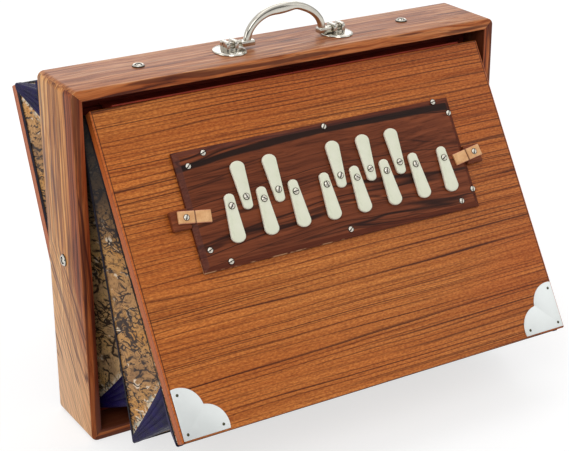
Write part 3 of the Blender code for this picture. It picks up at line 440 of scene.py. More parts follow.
IVORY = ivory("ivory_stops")
NICKEL = metal("nickel", (234, 228, 214), 0.26, 0.4, 0.00003, 0.75)
SATIN_NICKEL = metal("satin_nickel", (238, 242, 240), 0.3, 0.4, 0.00002, 0.35, 0.96)
CHROME = metal("chrome", (206, 201, 190), 0.12, 0.2, 0.00001)
BRASS = metal("brass", (196, 160, 92), 0.25, 0.4)
STEEL = metal("spring_steel", (150, 150, 154), 0.25, 0.4)
PAINTED_SHADE = metal("painted_shade_metal", (52, 46, 40), 0.5, 0.7)
DARK_NAIL = metal("nail", (84, 82, 62), 0.4, 0.6)


# Geometry


def linked(name, data):
    made = bpy.data.objects.new(name, data)
    bpy.context.scene.collection.objects.link(made)
    return made


def evaluated(holder):
    """The mesh of an object with its modifiers; the object itself goes."""
    bpy.context.view_layer.update()
    made = bpy.data.meshes.new_from_object(holder.evaluated_get(bpy.context.evaluated_depsgraph_get()))
    bpy.data.objects.remove(holder)
    return made


def mesh_of(name, form, outwards=True):
    mesh = bpy.data.meshes.new(name)
    if outwards:
        bmesh.ops.recalc_face_normals(form, faces=form.faces)
    form.to_mesh(mesh)
    form.free()
    return mesh


def add(name, mesh, material, body, matrix=UPRIGHT, stands_for=(), smooth=40):
    """Adds a piece in place, which moves with a body and may stand for nodes of the frame."""
    made = linked(name, mesh)
    made.matrix_world = matrix
    if not mesh.materials:
        mesh.materials.append(material)
    mesh.shade_smooth()
    mesh.set_sharp_from_angle(angle=radians(smooth))
    if body:
        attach(made, body)
    if stands_for:
        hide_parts(*stands_for)
    return made


def skin(form, rows, closed=False):
    """Faces between neighbouring rows of vertices, right round where the rows are rings."""
    for near, far in zip(rows, rows[1:]):
        for step in range(len(near) if closed else len(near) - 1):
            after = (step + 1) % len(near)
            form.faces.new((near[step], near[after], far[after], far[step]))


def bevel(form, edges, offset, segments):
    bmesh.ops.bevel(form, geom=edges, offset=offset, segments=segments, profile=0.5, affect="EDGES")


def prism_form(points, way):
    """A closed outline of points in space, drawn out along way."""
    form = bmesh.new()
    face = form.faces.new([form.verts.new(point) for point in points])
    moved = bmesh.ops.extrude_face_region(form, geom=[face])["geom"]
    verts = [item for item in moved if isinstance(item, bmesh.types.BMVert)]
    bmesh.ops.translate(form, verts=verts, vec=way)
    bmesh.ops.recalc_face_normals(form, faces=form.faces)
    return form


def box_form(low, high, radius=0, segments=2):
    low, high = Vector(low), Vector(high)
    form = bmesh.new()
    matrix = Matrix.Translation((low + high) / 2) @ Matrix.Diagonal((*(high - low), 1))
    bmesh.ops.create_cube(form, size=1, matrix=matrix)
    if radius:
        bevel(form, form.edges[:], radius, segments)
    return form


def joined(name, forms):
    """One mesh from several closed forms or meshes."""
    whole = bmesh.new()
    for form in forms:
        whole.from_mesh(mesh_of("part", form) if isinstance(form, bmesh.types.BMesh) else form)
    return mesh_of(name, whole)


def lathe_form(profile, segments=28, matrix=UPRIGHT):
    """Turns a profile of (radius, height) points about Z; a radius of 0 closes an end."""
    form = bmesh.new()
    rings = []
    for radius, height in profile:
        angles = spread(0, 2 * pi, segments)[:-1] if radius else [0]
        rings.append([form.verts.new((radius * cos(a), radius * sin(a), height)) for a in angles])
    for lower, upper in zip(rings, rings[1:]):
        for step in range(segments):
            after = (step + 1) % segments
            face = [lower[step % len(lower)], lower[after % len(lower)]]
            face += [upper[after % len(upper)], upper[step % len(upper)]]
            form.faces.new(list(dict.fromkeys(face)))
    form.transform(matrix)
    return form


def cut(mesh, cutter):
    """The mesh without the cutter's space."""
    body, tool = linked("cut_body", mesh), linked("cut_tool", cutter)
    modifier = body.modifiers.new("cut", "BOOLEAN")
    modifier.operation = "DIFFERENCE"
    modifier.solver = "EXACT"
    modifier.object = tool
    made = evaluated(body)
    bpy.data.objects.remove(tool)
    return made


def two_tone(mesh, first, is_second):
    """The first material, with faces of painted shade where is_second(radius, centre) says so."""
    mesh.materials.append(first)
    mesh.materials.append(PAINTED_SHADE)
    for face in mesh.polygons:
        if is_second(hypot(face.center.x, face.center.y), face.center):
            face.material_index = 1
    return mesh


def screw_mesh(name, radius, height, shank_radius, shank):
    """A domed slotted head on a plain shank, with the head's underside at Z = 0."""
    profile = [(0, height)]
    dome, seat = radius * 0.9, radius * 1.06
    for angle in spread(0, pi / 2, 5)[1:]:
        profile.append((dome * sin(angle), height * (0.25 + 0.75 * cos(angle))))
    profile += [(dome, 0.00025), (seat, 0.00015), (seat, 0)]
    profile += [(shank_radius, 0), (shank_radius, -shank), (0, -shank)]
    half_slot, floor = radius * 0.15, height * 0.4
    slot = box_form((-radius * 1.2, -half_slot, floor), (radius * 1.2, half_slot, height * 2))
    mesh = cut(mesh_of(name, lathe_form(profile)), mesh_of("slot_tool", slot))

    # Painted shade in the slot and on the ring round the foot of the head.
    def dark(out, centre):
        in_slot = abs(centre.y) < half_slot * 1.01 and centre.z > floor * 0.99
        return in_slot or (out > dome * 0.97 and centre.z < height * 0.3)

    return two_tone(mesh, NICKEL, dark)


def flat_mesh(name, outlines, thickness, edge, resolution=3):
    """A flat outline with holes, its edges rounded by edge, centred on Z = 0."""
    curve = bpy.data.curves.new(name, "CURVE")
    curve.dimensions = "2D"
    curve.fill_mode = "BOTH"
    curve.extrude = thickness / 2 - edge
    curve.bevel_depth = edge
    curve.bevel_resolution = resolution
    curve.offset = -edge
    for outline in outlines:
        spline = curve.splines.new("POLY")
        spline.points.add(len(outline) - 1)
        for point, place in zip(spline.points, outline):
            point.co = (*place, 0, 1)
        spline.use_cyclic_u = True
    form = bmesh.new()
    form.from_mesh(evaluated(linked(name, curve)))
    bmesh.ops.remove_doubles(form, verts=form.verts, dist=1e-6)
    return mesh_of(name, form)


def tube_form(points, sizes, sides, up=Vector((0, 1, 0)), squareness=1):
    """A tube along points; sizes gives each ring's half sizes along up and across it."""

    def swell(value):
        return copysign(abs(value) ** squareness, value)

    form = bmesh.new()
    rings = []
    neighbours = zip(points[:1] + points, points[1:] + points[-1:])
    for centre, (first, second), (before, after) in zip(points, sizes, neighbours):
        ahead = (after - before).normalized()
        side = ahead.cross(up).normalized()
        over = side.cross(ahead)
        ring = []
        for angle in spread(0, 2 * pi, sides)[:-1]:
            offset = over * first * swell(cos(angle)) + side * second * swell(sin(angle))
            ring.append(form.verts.new(centre + offset))
        rings.append(ring)
    skin(form, rings, closed=True)
    form.faces.new(rings[0])
    form.faces.new(rings[-1])
    return form


def arc(centre, radius_x, radius_y, start, end, steps):
    angles = [radians(angle) for angle in spread(start, end, steps)]
    return [(centre[0] + radius_x * cos(a), centre[1] + radius_y * sin(a)) for a in angles]


# Case


def case_rails():
    """Four rails mitred at the corners, where the outer arris is rounded across both rails."""
    half_depth, joint, near = CASE_DEPTH / 2, 0.00003, 1e-6
    lying, upright = (CASE_WIDTH / 2, CASE_HEIGHT / 2, TEAK_X), (CASE_HEIGHT / 2, CASE_WIDTH / 2, TEAK_Z)
    for quarter, name in enumerate(("case_top", "case_left", "case_bottom", "case_right")):
        long_half, short_half, material = upright if quarter % 2 else lying
        centre = (long_half - CORNER_RADIUS - joint, short_half - CORNER_RADIUS)
        half_outline = [(long_half - RAIL - joint, short_half - RAIL)]
        half_outline += arc(centre, CORNER_RADIUS, CORNER_RADIUS, 45, 90, 7)
        outline = half_outline + [(-a, b) for a, b in reversed(half_outline)]
        form = prism_form([(a, -half_depth, b) for a, b in outline], (0, CASE_DEPTH, 0))
        for outside, radius in ((True, 0.0014), (False, 0.0005)):
            edges = []
            for edge in form.edges:
                first, second = (vert.co for vert in edge.verts)
                flat = abs(first.y - second.y) < near and half_depth - abs(first.y) < near
                outer = min(first.z, second.z) > short_half - CORNER_RADIUS - near
                inner = max(first.z, second.z) < short_half - RAIL + near
                if flat and (outer if outside else inner):
                    edges.append(edge)
            bevel(form, edges, radius, 3)
        form.transform(at(0, 0, CASE_HEIGHT / 2) @ turned(-90 * quarter, "Y"))
        add(name + "_rail", mesh_of(name, form), material, "case", stands_for=[name])


def cup_screws(screw):
    """Screws in raised cup washers that hold the partition through the rails, at mid-depth."""
    washer = [(0.0052, 0), (0.005, 0.0009), (0.004, 0.0017), (0.0031, 0.0015), (0.0027, 0.0004)]
    cup = mesh_of("cup_washer", lathe_form([(0, 0), *washer, (0, 0.0002)]))
    # Painted shade in the washer's recess and on its steep outer wall.
    two_tone(cup, CHROME, lambda out, _: not 0.0031 < out < 0.0049)
    places = (
        (-0.1265, CASE_HEIGHT, (0, 0, 1), 20), (0.1265, CASE_HEIGHT, (0, 0, 1), 70),
        (-CASE_WIDTH / 2, 0.1515, (-1, 0, 0), 80), (CASE_WIDTH / 2, 0.1515, (1, 0, 0), 20),
    )
    for number, (x, z, direction, turn) in enumerate(places, 1):
        facing = Vector(direction).to_track_quat("Z", "Y").to_matrix().to_4x4()
        matrix = at(x, 0.002, z) @ facing @ turned(turn, "Z")
        add(f"cup_washer_{number}", cup, CHROME, "case", matrix)
        add(f"cup_screw_{number}", screw, NICKEL, "case", matrix @ at(0, 0, 0.0005))


# Bellows, in the frame of a hinge axis from which the board hangs


def turning(piece, shares):
    """Sets each point for a moment to the inverse smooth step of its share of the board's angle, bakes the
    object's transform, and puts the points back.
    """
    mesh = piece.data
    places = [vert.co.copy() for vert in mesh.vertices]
    for vert, share in zip(mesh.vertices, shares):
        # The inverse of a smooth step, taken of the share.
        even = 0.5 - sin(asin(max(-1, min(1, 1 - 2 * share))) / 3)
        vert.co = (even, 0, 0)
    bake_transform(piece)
    for vert, place in zip(mesh.vertices, places):
        vert.co = place


def in_quarters(share):
    """The rib that holds this share of the angle, and how far across it the share lies."""
    index = min(3, int(share * 4))
    return index, share * 4 - index


def fold_line(share):
    """Half width and reach of the bellows at this share, and the reach of its corner leather."""
    outer = (BOARD_HALF_WIDTH - GAP, BOARD_HEIGHT - GAP)
    crest = (BOARD_HALF_WIDTH + CREST_OVERHANG, BOARD_HEIGHT + CREST_OVERHANG / 2)
    valley = (BOARD_HALF_WIDTH - RIB_INSET, BOARD_HEIGHT - RIB_INSET)
    lines = [outer, valley, crest, valley, outer]
    index, part = in_quarters(share)
    half_width, reach = (a + (b - a) * part for a, b in zip(lines[index], lines[index + 1]))
    narrow, wide = 0.0035, 0.0285
    return half_width, reach, narrow + (wide - narrow) * (1 - part if index % 2 else part)


def chord_point(share, x, reach, opening):
    """A point on a flat rib: ribs are straight between fold lines, so it lies on their chord."""
    index, part = in_quarters(share)
    ends = []
    for fold in (index / 4, (index + 1) / 4):
        depth = (HINGE_Y - FRAME_FACE) * (1 - fold) + 0.0011 * (2 * fold - 1)
        turn = Matrix.Rotation(-fold * opening, 3, "X")
        ends.append(turn @ Vector((x, depth, -reach)))
    return ends[0].lerp(ends[1], part)


def u_path(half_width, reach, neck, corner_steps):
    """(x, reach, distance past the corner leather's edge) down the left, across and up the right."""
    free, hem = half_width - neck, 0.004
    downs = spread(hem, reach - neck, 26) + spread(reach - neck, reach, corner_steps)[1:]
    crosses = spread(-half_width, -free, corner_steps)[1:] + spread(-free, free, 34)[1:]
    crosses += spread(free, half_width, corner_steps)[1:-1]
    left = [(-half_width, down, down - (reach - neck)) for down in downs]
    across = [(cross, reach, abs(cross) - free) for cross in crosses]
    return left + across + [(half_width, down, past) for _, down, past in reversed(left)]


def away_from_axis(face):
    """How far a face of the bellows looks outwards."""
    centre = face.calc_center_median()
    if BOARD_HALF_WIDTH - abs(centre.x) < BOARD_HEIGHT + centre.z:
        return face.normal.x * copysign(1, centre.x)
    return -face.normal.z


def sheet(name, rows, shares, material, bellows, slot, thickness, offset, node=None, worn=None, up=None):
    """A sheet from a grid of points, made solid, whose every point keeps its share of the board's angle."""
    _, matrix, _, pair = bellows
    form = bmesh.new()
    skin(form, [[form.verts.new(place) for place in row] for row in rows])
    form.normal_update()
    if sum((up or away_from_axis)(face) for face in form.faces) < 0:
        bmesh.ops.reverse_faces(form, faces=form.faces)
    mesh = mesh_of(name, form, outwards=False)
    for word, values in (("share", shares), ("worn", worn)):
        if values:
            mesh.attributes.new(word, "FLOAT", "POINT").data.foreach_set("value", values)
    holder = linked(name, mesh)
    modifier = holder.modifiers.new("thickness", "SOLIDIFY")
    modifier.thickness = thickness
    modifier.offset = offset
    solid = evaluated(holder)
    solid.transform(matrix)
    kept = [0] * len(solid.vertices)
    solid.attributes["share"].data.foreach_get("value", kept)
    piece = add(name, solid, material, None, smooth=40 if up else 28)
    turning(piece, kept)
    if node:
        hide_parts(node)


def binding_rows(fold, width, opening):
    """A strip along a fold, as wide all along, however close together the ribs are."""

    def place(share, column):
        half_width, reach, _ = fold_line(share)
        x, down, _ = u_path(half_width + 0.0005, reach + 0.0005, 0.01, 2)[column]
        return chord_point(share, x, down, opening)

    columns = []
    for column in range(len(u_path(0.1, 0.1, 0.01, 2))):
        shares = {fold}
        for way in (-0.25, 0.25):
            if 0 <= fold + way <= 1:
                distance = (place(fold + way, column) - place(fold, column)).length
                shares.update(spread(fold, fold + way * min(0.9, width / distance), 3))
        columns.append(sorted(shares))
    levels = list(zip(*columns))
    rows = [[place(share, column) for column, share in enumerate(level)] for level in levels]
    return rows, [share for level in levels for share in level]


def bellows_ribs(bellows, paper):
    prefix, _, opening, _ = bellows
    rows, shares, worn = [], [], []
    for share in spread(0, 1, 20):
        half_width, reach, neck = fold_line(share)
        part = in_quarters(share)[1]
        row = []
        for x, down, past in u_path(half_width, reach, neck, 4):
            ripple = noise.noise(Vector((x * 30, down * 30, share * 9))) * 0.0005
            bulge = 4 * part * (1 - part) * ripple
            place = chord_point(share, x, down, opening)
            row.append(place + Vector((copysign(bulge, x), 0, -bulge)))
            shares.append(share)
            worn.append(max(0, 1 - abs(past) / 0.006))
        rows.append(row)
    name = prefix + "_bellows"
    sheet(name + "_paper", rows, shares, paper, bellows, "bellows_card", 0.0008, -1, name, worn)
    for fold, width, word in ((0, 0.0026, "frame"), (0.5, 0.0012, "crest"), (1, 0.0026, "board")):
        rows, shares = binding_rows(fold, width, opening)
        name = f"{prefix}_binding_{word}"
        sheet(name, rows, shares, BLACK_BINDING, bellows, "brown_leather", 0.0005, 1)


def gussets(bellows):
    """Pleated leather over each free corner: narrow at the outer folds and wide at the inner ones."""
    prefix, _, opening, _ = bellows
    steps = 30
    for word, side in SIDES:
        rows, shares = [], []
        for level, share in enumerate(spread(0, 1, 32)):
            half_width, reach, length = fold_line(share)
            length += 0.0012
            row = []
            for step in range(-steps, steps + 1):
                part = abs(step) / steps
                ridge = abs(sin(0.42 * step + 0.3 * sin(0.8 * level))) ** 0.7
                lift = 0.0007 + 0.0011 * ridge * (1 - part**6) * min(1, length / 0.02)
                ways = lift, lift * 0.3 - length * part
                out, down = ways if step <= 0 else reversed(ways)
                row.append(chord_point(share, side * (half_width + out), reach + down, opening))
                shares.append(share)
            rows.append(row if side < 0 else row[::-1])
        name = f"{prefix}_gusset_{word}"
        sheet(name + "_leather", rows, shares, BLUE, bellows, "blue_leather", 0.0005, 1, name)


def hinge_leather(bellows):
    """A strip over the hinge line: one half lies on the bar and keeps no share of the board's angle, the
    other lies over the board's top edge and keeps all of it.
    """
    prefix, _, opening, _ = bellows
    half, bend = BOARD_HALF_WIDTH - 0.0195, 0.0012
    profile = [(y, GAP, 0) for y in spread(HINGE_Y - PARTITION_FACE - GAP + bend, bend, 6)]
    for share in spread(0, 1, 6)[1:-1]:
        profile.append((bend * cos(share * pi), GAP / cos(opening / 2), share))
    for reach in spread(bend, BOARD_THICKNESS - GAP, 6):
        y = -reach * cos(opening) + GAP * sin(opening)
        profile.append((y, reach * sin(opening) + GAP * cos(opening), 1))
    rows = [[(x, y, z) for y, z, _ in profile] for x in spread(-half, half, 24)]
    shares = [share for _ in rows for _, _, share in profile]
    name = prefix + "_hinge_leather"
    args = rows, shares, BROWN, bellows, "brown_leather", 0.0012, 1, name
    sheet(name + "_strip", *args, up=lambda face: face.normal.z)


def springs(bellows):
    """Wire springs with one arm on the partition, a coil, and one arm on the board, each point keeping its
    share of the board's angle.
    """
    prefix, matrix, opening, pair = bellows
    stand_off, reach, radius, distance, sides = 0.0013, 0.15, 0.006, 0.042, 10
    foot = HINGE_Y - PARTITION_FACE
    centre = Vector(((foot - distance * sin(opening)) / 2, -distance))
    fixed = Vector((foot - stand_off, -reach))
    moving = Matrix.Rotation(-opening, 2) @ Vector((stand_off, -reach))
    angles = []
    for tip, turn in ((fixed, 1), (moving, -1)):
        away = tip - centre
        angles.append(atan2(away.y, away.x) + turn * acos(radius / away.length))
    start, end = angles
    while end < start:
        end += 2 * pi
    end += 4 * pi
    rise = 0.0028 * (end - start) / (2 * pi)

    def coil(part):
        angle = start + (end - start) * part
        return centre + radius * Vector((cos(angle), sin(angle)))

    # How far along the coil, the place, and the share of the board's angle
    arm = spread(0, 1, 12)
    route = [(-0.5, fixed.lerp(coil(0), part), 0.45 * part**3) for part in arm[:-1]]
    route += [(part - 0.5, coil(part), 0.45 + 0.1 * part) for part in spread(0, 1, 84)]
    route += [(0.5, coil(1).lerp(moving, part), 1 - 0.45 * (1 - part) ** 3) for part in arm[1:]]
    for word, side in SIDES:
        x = side * (BOARD_HALF_WIDTH - 0.0345)
        points = [Vector((x + side * rise * along, *place)) for along, place, _ in route]
        form = tube_form(points, [(0.001, 0.001)] * len(points), sides, up=Vector((1, 0, 0)))
        mesh = mesh_of(f"{prefix}_spring_{word}", form)
        mesh.transform(matrix)
        piece = add(f"{prefix}_spring_wire_{word}", mesh, STEEL, None)
        turning(piece, [share for _, _, share in route for _ in range(sides)])
        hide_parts(f"{prefix}_spring_{word}")


# Stops, screws and fittings on the front board


def stop_places():
    """(x, z, -1 for down and 1 for up, tilt in degrees) of each stop, from the left."""
    low_tilts = (-2.5, 0, 1, 0.5, 1, 2.5, 3, 1)
    high_tilts = {0: 0, 1: 0.5, 3: -2, 4: -2, 5: 0}
    first = 0.0075 - 3.5 * STOP_PITCH
    places = [(first + k * STOP_PITCH, -0.0958, -1, tilt) for k, tilt in enumerate(low_tilts)]
    places += [(first + (k + 0.5) * STOP_PITCH, -0.0912, 1, tilt) for k, tilt in high_tilts.items()]
    return sorted(places)


def stops(screw):
    outline = arc((0, -0.0242), 0.0063, 0.0052, 180, 360, 24)
    outline += arc((0, 0.0066), 0.0043, 0.0034, 0, 180, 24)
    hole = arc((0, 0), 0.0017, 0.0017, 0, 345, 23)
    mesh = flat_mesh("stop", (outline, hole), STOP_THICKNESS, 0.001, 4)
    slots = (50, 110, -40, 70, 5, 100, 60, 140, 20, 80, 10, 100, 30)
    y = PLATE_TOP_Y - GAP - STOP_THICKNESS / 2
    for number, ((x, z, direction, tilt), slot) in enumerate(zip(stop_places(), slots), 1):
        name, pivot = f"stop_{number:02d}", f"{number:02d}"
        turn = (0 if direction < 0 else 180) - tilt
        matrix = FRONT_SWING @ at(x, y, z) @ turned(turn, "Y") @ turned(90, "X")
        add(name + "_tab", mesh, IVORY, name, matrix, [name], 50)
        head = on_board(x, z + BOARD_HEIGHT, y - STOP_THICKNESS / 2 - GAP, slot)
        add("pivot_" + pivot, screw, NICKEL, "front_board", head, ["stop_screw_" + pivot])


def on_board(x, height, y, turn=0):
    """A place on the front board with Z out of its face; height counts up from its free edge."""
    return FRONT_SWING @ at(x, y, height - BOARD_HEIGHT) @ turned(90, "X") @ turned(turn, "Z")


def plate_screws(mesh):
    places = (
        (-0.1042, 0.2112, 15), (-0.1197, 0.2032, 40), (0.0075, 0.2124, 55), (0.1175, 0.2139, 5),
        (0.1298, 0.2021, 60), (0.1309, 0.1342, 80), (0.1165, 0.1264, 75), (0.0046, 0.1255, 35),
        (-0.1067, 0.1235, 10), (-0.1213, 0.1357, 20),
    )
    for number, (x, height, turn) in enumerate(places, 1):
        place = on_board(x, height, PLATE_TOP_Y, turn)
        add(f"plate_screw_{number:02d}", mesh, NICKEL, "front_board", place)


def slab_mesh(name, columns, half_height, top):
    """A strip whose upper side follows top(x), with rounded long edges; thickness runs along Z."""
    form = bmesh.new()
    across = (-1, -0.94, -0.8, 0, 0.8, 0.94, 1)
    drop = (0.45, 0.12, 0, 0, 0, 0.12, 0.45)
    upper, lower = [], []
    for x in columns:
        places = [(x, half_height * a, top(x) - d * 0.0008) for a, d in zip(across, drop)]
        upper.append([form.verts.new(place) for place in places])
        lower.append([form.verts.new((x, half_height * a, 0)) for a in across])
    skin(form, upper)
    skin(form, lower)
    for end in (0, -1):
        skin(form, [upper[end], lower[end]])
        skin(form, [[row[end] for row in upper], [row[end] for row in lower]])
    return mesh_of(name, form)


def finger_pulls(screw):
    """Folded leather tongues: a doubled half under the screw, a crease, then a single free half."""

    def top(x):
        if x < 0:
            return 0.0018 if x < -0.0136 else 0.0021
        if x < 0.0008:
            return 0.0012
        return 0.0014 + 0.0006 * sin(pi * min(1, (x - 0.0008) / 0.0135))

    mesh = slab_mesh("finger_pull", [-0.014 + 0.0005 * index for index in range(57)], 0.005, top)
    for word, spin, x, tilt, screw_x, screw_height in (
        ("left", 0, PLATE_LEFT + 0.0032, 8, -0.1341, 0.1643),
        ("right", 180, PLATE_RIGHT + 0.0009, -9, 0.142, 0.1648),
    ):
        name = "finger_pull_" + word
        place = FRONT_SWING @ at(x, PLATE_TOP_Y - GAP, -0.0975) @ turned(tilt, "Y") @ turned(90, "X")
        place = place @ turned(spin, "Z")
        add(name + "_leather", mesh, PULL_LEATHER, "front_board", place, [name], 50)
        head = on_board(screw_x, screw_height, PLATE_TOP_Y - GAP - 0.002, 65)
        add(name + "_screw", screw, NICKEL, "front_board", head)
        paint(ROSEWOOD_BLOCK, "pull_block_" + word)


def corner_plates():
    """Thin corners whose outline is two arcs that meet in a notch on the diagonal."""
    radius, near, size, thickness, inset = 0.0192, 0.004, 0.0395, 0.0009, 0.0015
    rise = sqrt(radius**2 - near**2)
    high = size - rise
    notch = (near + high + sqrt(2 * radius**2 - (high - near) ** 2)) / 2
    start = degrees(atan2(rise, -near))
    end = degrees(atan2(notch - high, notch - near))
    upper = arc((near, high), radius, radius, start, end, 36)
    outline = [(0, 0), *upper, *[(y, x) for x, y in reversed(upper[:-1])]]
    nail = mesh_of("nail", lathe_form([(0, 0.0006), (0.0007, 0.0005), (0.0012, 0), (0, -0.0002)], 16))
    face = -BOARD_THICKNESS - GAP / 2
    for word, side in SIDES:
        name = "corner_plate_" + word
        mesh = flat_mesh(name, ([(-side * x, y) for x, y in outline],), thickness, 0.0003, 2)
        x = side * (BOARD_HALF_WIDTH - inset)
        matrix = on_board(x, inset, face - thickness / 2)
        add(name + "_sheet", mesh, SATIN_NICKEL, "front_board", matrix, [name], 50)
        for number, (across, up) in enumerate(((0.0042, 0.0042), (0.0042, 0.0345), (0.0345, 0.0042)), 1):
            place = on_board(x - side * across, inset + up, face - thickness)
            add(f"corner_nail_{word}_{number}", nail, DARK_NAIL, "front_board", place)


# Reeds inside the front board


def reeds():
    """Brass reeds on the reed bank, each with its slot and a riveted tongue."""
    plate = mesh_of("reed_plate", box_form((-0.0045, -0.019, 0), (0.0045, 0.019, 0.0015), 0.0003))
    plate = cut(plate, mesh_of("reed_slot", box_form((-0.0018, -0.0135, -0.002), (0.0018, 0.0135, 0.004))))
    blade = box_form((-0.0014, -0.0134, 0.0017), (0.0014, 0.0165, 0.0021))
    rivet = box_form((-0.003, 0.0138, 0.0014), (0.003, 0.0182, 0.0026), 0.0003, 1)
    tongue = joined("reed_tongue", [blade, rivet])
    bank_face, from_pivot = 0.0068, 0.0235
    for number, (x, z, direction, tilt) in enumerate(stop_places(), 1):
        aside = -direction * from_pivot * sin(radians(tilt))
        matrix = FRONT_SWING @ at(x + aside, bank_face, z + direction * from_pivot) @ turned(-90, "X")
        if direction > 0:
            matrix = matrix @ turned(180, "Z")
        add(f"reed_{number:02d}", plate, BRASS, "front_board", matrix)
        add(f"reed_tongue_{number:02d}", tongue, BRASS, "front_board", matrix)


# Handle


def bail():
    """A cast grip with a bulge and a hollow for the fingers, and a flat collar and a pin at each end."""
    half_span, leg, grip, rise = 0.036, 0.003, 0.0041, 0.0237
    points, sizes = [], []
    for angle in spread(0, pi, 96):
        height = sin(angle)
        x = -half_span * cos(angle)
        bulge = exp(-(((x + 0.006) / 0.009) ** 2))
        hollow = exp(-(((x - 0.011) / 0.006) ** 2))
        radius = leg + (grip - leg) * height**6 + 0.0006 * (bulge - hollow)
        points.append(Vector((x, 0, rise * height - (radius - grip) * height**6)))
        sizes.append((0.0029 + 0.0014 * height**6, radius))
    forms = [tube_form(points, sizes, 24, squareness=0.72)]
    for side, near, far in ((-1, -0.0432, -0.0302), (1, 0.0322, 0.0445)):
        forms.append(box_form((near, -0.0039, -0.0036), (far, 0.0039, 0.001), 0.0008, 3))
        start, tip = side * 0.0413, side * 0.0567 - 0.0012
        half = abs(tip - start) / 2
        pin = [(0, -half), (0.0015, -half), (0.0017, -half + 0.0003)]
        pin += [(radius, -height) for radius, height in reversed(pin)]
        forms.append(lathe_form(pin, 20, at((start + tip) / 2, 0, 0) @ turned(90, "Y")))
    matrix = at(BAIL_X, 0, HANDLE_PIVOT_Z)
    add("bail_grip", joined("bail_grip", forms), CHROME, "handle_bail", matrix, ["handle_bail"], 50)


def handle_plates(screw):
    """Oval plates, each with two bored lugs that take a pin of the bail."""
    outline = [(-0.006, 0), (0.006, 0)]
    outline += arc((0.0035, 0.0069), 0.0025, 0.0025, 0, 90, 8)
    outline += arc((-0.0035, 0.0069), 0.0025, 0.0025, 90, 180, 8)
    profile = [(0, -0.01), (0.002, -0.01), (0.002, 0.01), (0, 0.01)]
    bore = mesh_of("bore", lathe_form(profile, 20, at(0, 0, 0.0061) @ turned(90, "Y")))
    parts = []
    for offset in (-0.0039, 0.0039):
        form = prism_form([(offset - 0.0016, a, b) for a, b in outline], (0.0032, 0, 0))
        rims = [edge for edge in form.edges if abs(edge.verts[0].co.x - edge.verts[1].co.x) < 1e-6]
        bevel(form, rims, 0.0003, 2)
        parts.append(cut(mesh_of("lug", form), bore))
    parts.append(box_form((-0.004, -0.0058, 0), (0.004, 0.0058, 0.0034), 0.0004))
    profile = [(0, 0), (0.985, 0), (1, 0.0004), (0.985, 0.0009), (0.93, 0.0013), (0.8, 0.0016)]
    oval = Matrix.Diagonal((0.0134, 0.017, 1, 1))
    parts.append(lathe_form([*profile, (0, 0.0019)], 56, oval))
    cast = joined("handle_plate", parts)
    for word, side in SIDES:
        name = "handle_plate_" + word
        matrix = at(HANDLE_X + side * HANDLE_PLATE_SPACING / 2, 0, CASE_HEIGHT + GAP / 3)
        add(name + "_cast", cast, CHROME, "case", matrix, [name], 35)
        for number, y in enumerate((-0.012, 0.012), 1):
            place = matrix @ at(0, y, 0.0013) @ Matrix.Rotation(0.6 * number, 4, "Z")
            add(f"{name}_screw_{number}", screw, NICKEL, "case", place)


def paint(material, *names):
    """Gives nodes of the frame a material of their own."""
    for name in names:
        materials = NODES[name].data.materials
        materials.clear()
        materials.append(material)


def build():
    big_screw = screw_mesh("pivot_screw", 0.0027, 0.0014, 0.0013, 0.012)
    plate_screw = screw_mesh("plate_screw", 0.0025, 0.0011, 0.0012, 0.008)
    small_screw = screw_mesh("small_screw", 0.0022, 0.0008, 0.001, 0.0012)
    case_rails()
    cup_screws(plate_screw)
    paint(FRONT_VENEER, "front_board")
    paint(BACK_VENEER, "back_board")
    paint(ROSEWOOD, "key_plate")
    paint(STAINED, "partition", "front_bellows_frame", "back_bellows_frame")
    paint(INNER_WOOD, "reed_bank")
    paint(TAN, "transfer_flap", "intake_flap")
    for prefix, matrix, angle, paper in (
        ("front", FRONT_AXIS, FRONT_OPEN, PAPER_FRONT),
        ("back", BACK_AXIS, BACK_OPEN, PAPER_BACK),
    ):
        bellows = (prefix, matrix, radians(angle), ("case", prefix + "_board"))
        bellows_ribs(bellows, paper)
        gussets(bellows)
        hinge_leather(bellows)
        springs(bellows)
    stops(big_screw)
    plate_screws(plate_screw)
    finger_pulls(plate_screw)
    corner_plates()
    reeds()
    bail()
    handle_plates(small_screw)


# Camera, floor and light


def set_camera():
    azimuth, elevation, roll = -30.997, 22.921, -0.297
    picture_width, focal_length, sensor_width = 569, 1517.65, 36  # pixels, pixels, mm
    camera = bpy.data.cameras.new("camera")
    camera.sensor_width = sensor_width
    camera.lens = focal_length / picture_width * sensor_width
    camera.clip_end = 50
    holder = linked("camera", camera)
    matrix = turned(azimuth, "Z") @ turned(90 - elevation, "X") @ turned(roll, "Z")
    holder.matrix_world = at(-0.62175, -1.04502, 0.65207) @ matrix
    bpy.context.scene.camera = holder


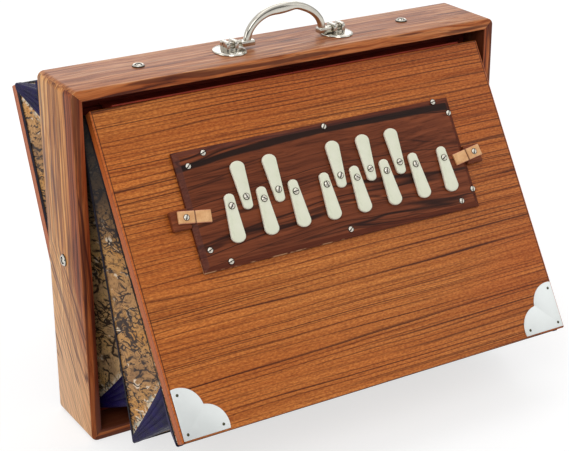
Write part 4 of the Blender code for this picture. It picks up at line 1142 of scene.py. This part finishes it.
def set_floor():
    """A white floor that runs on into a white backdrop and keeps a soft shadow."""
    mesh = bpy.data.meshes.new("floor")
    mesh.from_pydata([(-20, -20, 0), (20, -20, 0), (20, 20, 0), (-20, 20, 0)], [], [(0, 1, 2, 3)])
    floor = linked("floor", mesh)
    floor.location.z = -0.0002
    material = bpy.data.materials.new("floor_white")
    material.use_nodes = True
    tree = material.node_tree
    tree.nodes.clear()
    path = add_node(tree, "LightPath").outputs
    seen = Value(path["Is Camera Ray"]) | Value(path["Is Glossy Ray"])
    diffuse = Value(add_node(tree, "BsdfDiffuse", {0: (0.42, 0.42, 0.42, 1)}).outputs[0])
    glow = seen.node("Emission", {"Strength": seen * 0.66})
    add_node(tree, "OutputMaterial", {0: glow.node("AddShader", {0: diffuse, 1: glow})})
    mesh.materials.append(material)


def set_world():
    """White behind the object; its reflections are dimmer from the front than from above and behind."""
    world = bpy.data.worlds.new("world")
    bpy.context.scene.world = world
    world.use_nodes = True
    tree = world.node_tree
    ambient, front, far = 0.58, 0.14, 0.92
    _, y, z = Value(add_node(tree, "TexCoord").outputs["Generated"]).axes()
    bright = z.span(0.25, 0.8, kind="LINEAR") | y.span(-0.1, 0.35, kind="LINEAR")
    mirrored = bright.span(0, 1, front - ambient, far - ambient, "LINEAR")
    path = add_node(tree, "LightPath").outputs
    lit = mirrored * Value(path["Is Glossy Ray"]) + ambient
    seen = Value(path["Is Camera Ray"]) | Value(path["Is Transmission Ray"])
    background = tree.nodes["Background"]
    background.inputs["Color"].default_value = (1, 1, 1, 1)
    tree.links.new(((1 - lit) * seen + lit).socket, background.inputs["Strength"])


def set_light():
    set_world()
    for name, place, target, size, power in (
        ("key", (-1.3, -1.5, 1.7), (0, -0.05, 0.15), (1.2, 1.2), 15),
        ("side", (-2.1, 0.4, 0.6), (-0.2, 0, 0.15), (1.2, 1.2), 8),
        ("fill", (1.5, -1.2, 0.9), (0, 0, 0.15), (1.4, 1.2), 5),
        ("top", (0.1, 0.3, 1.9), (0, 0, 0.2), (1.6, 1.2), 5.5),
        ("rim", (0.8, 1.6, 1.2), (0, 0, 0.2), (1.2, 1), 5),
    ):
        lamp = bpy.data.lights.new(name, "AREA")
        lamp.shape = "RECTANGLE"
        lamp.size, lamp.size_y = size
        lamp.energy = power
        aim = (Vector(target) - Vector(place)).to_track_quat("-Z", "Y")
        linked(name, lamp).matrix_world = at(*place) @ aim.to_matrix().to_4x4()


build()
set_camera()
set_floor()
set_light()
bpy.context.scene.view_settings.view_transform = "Standard"
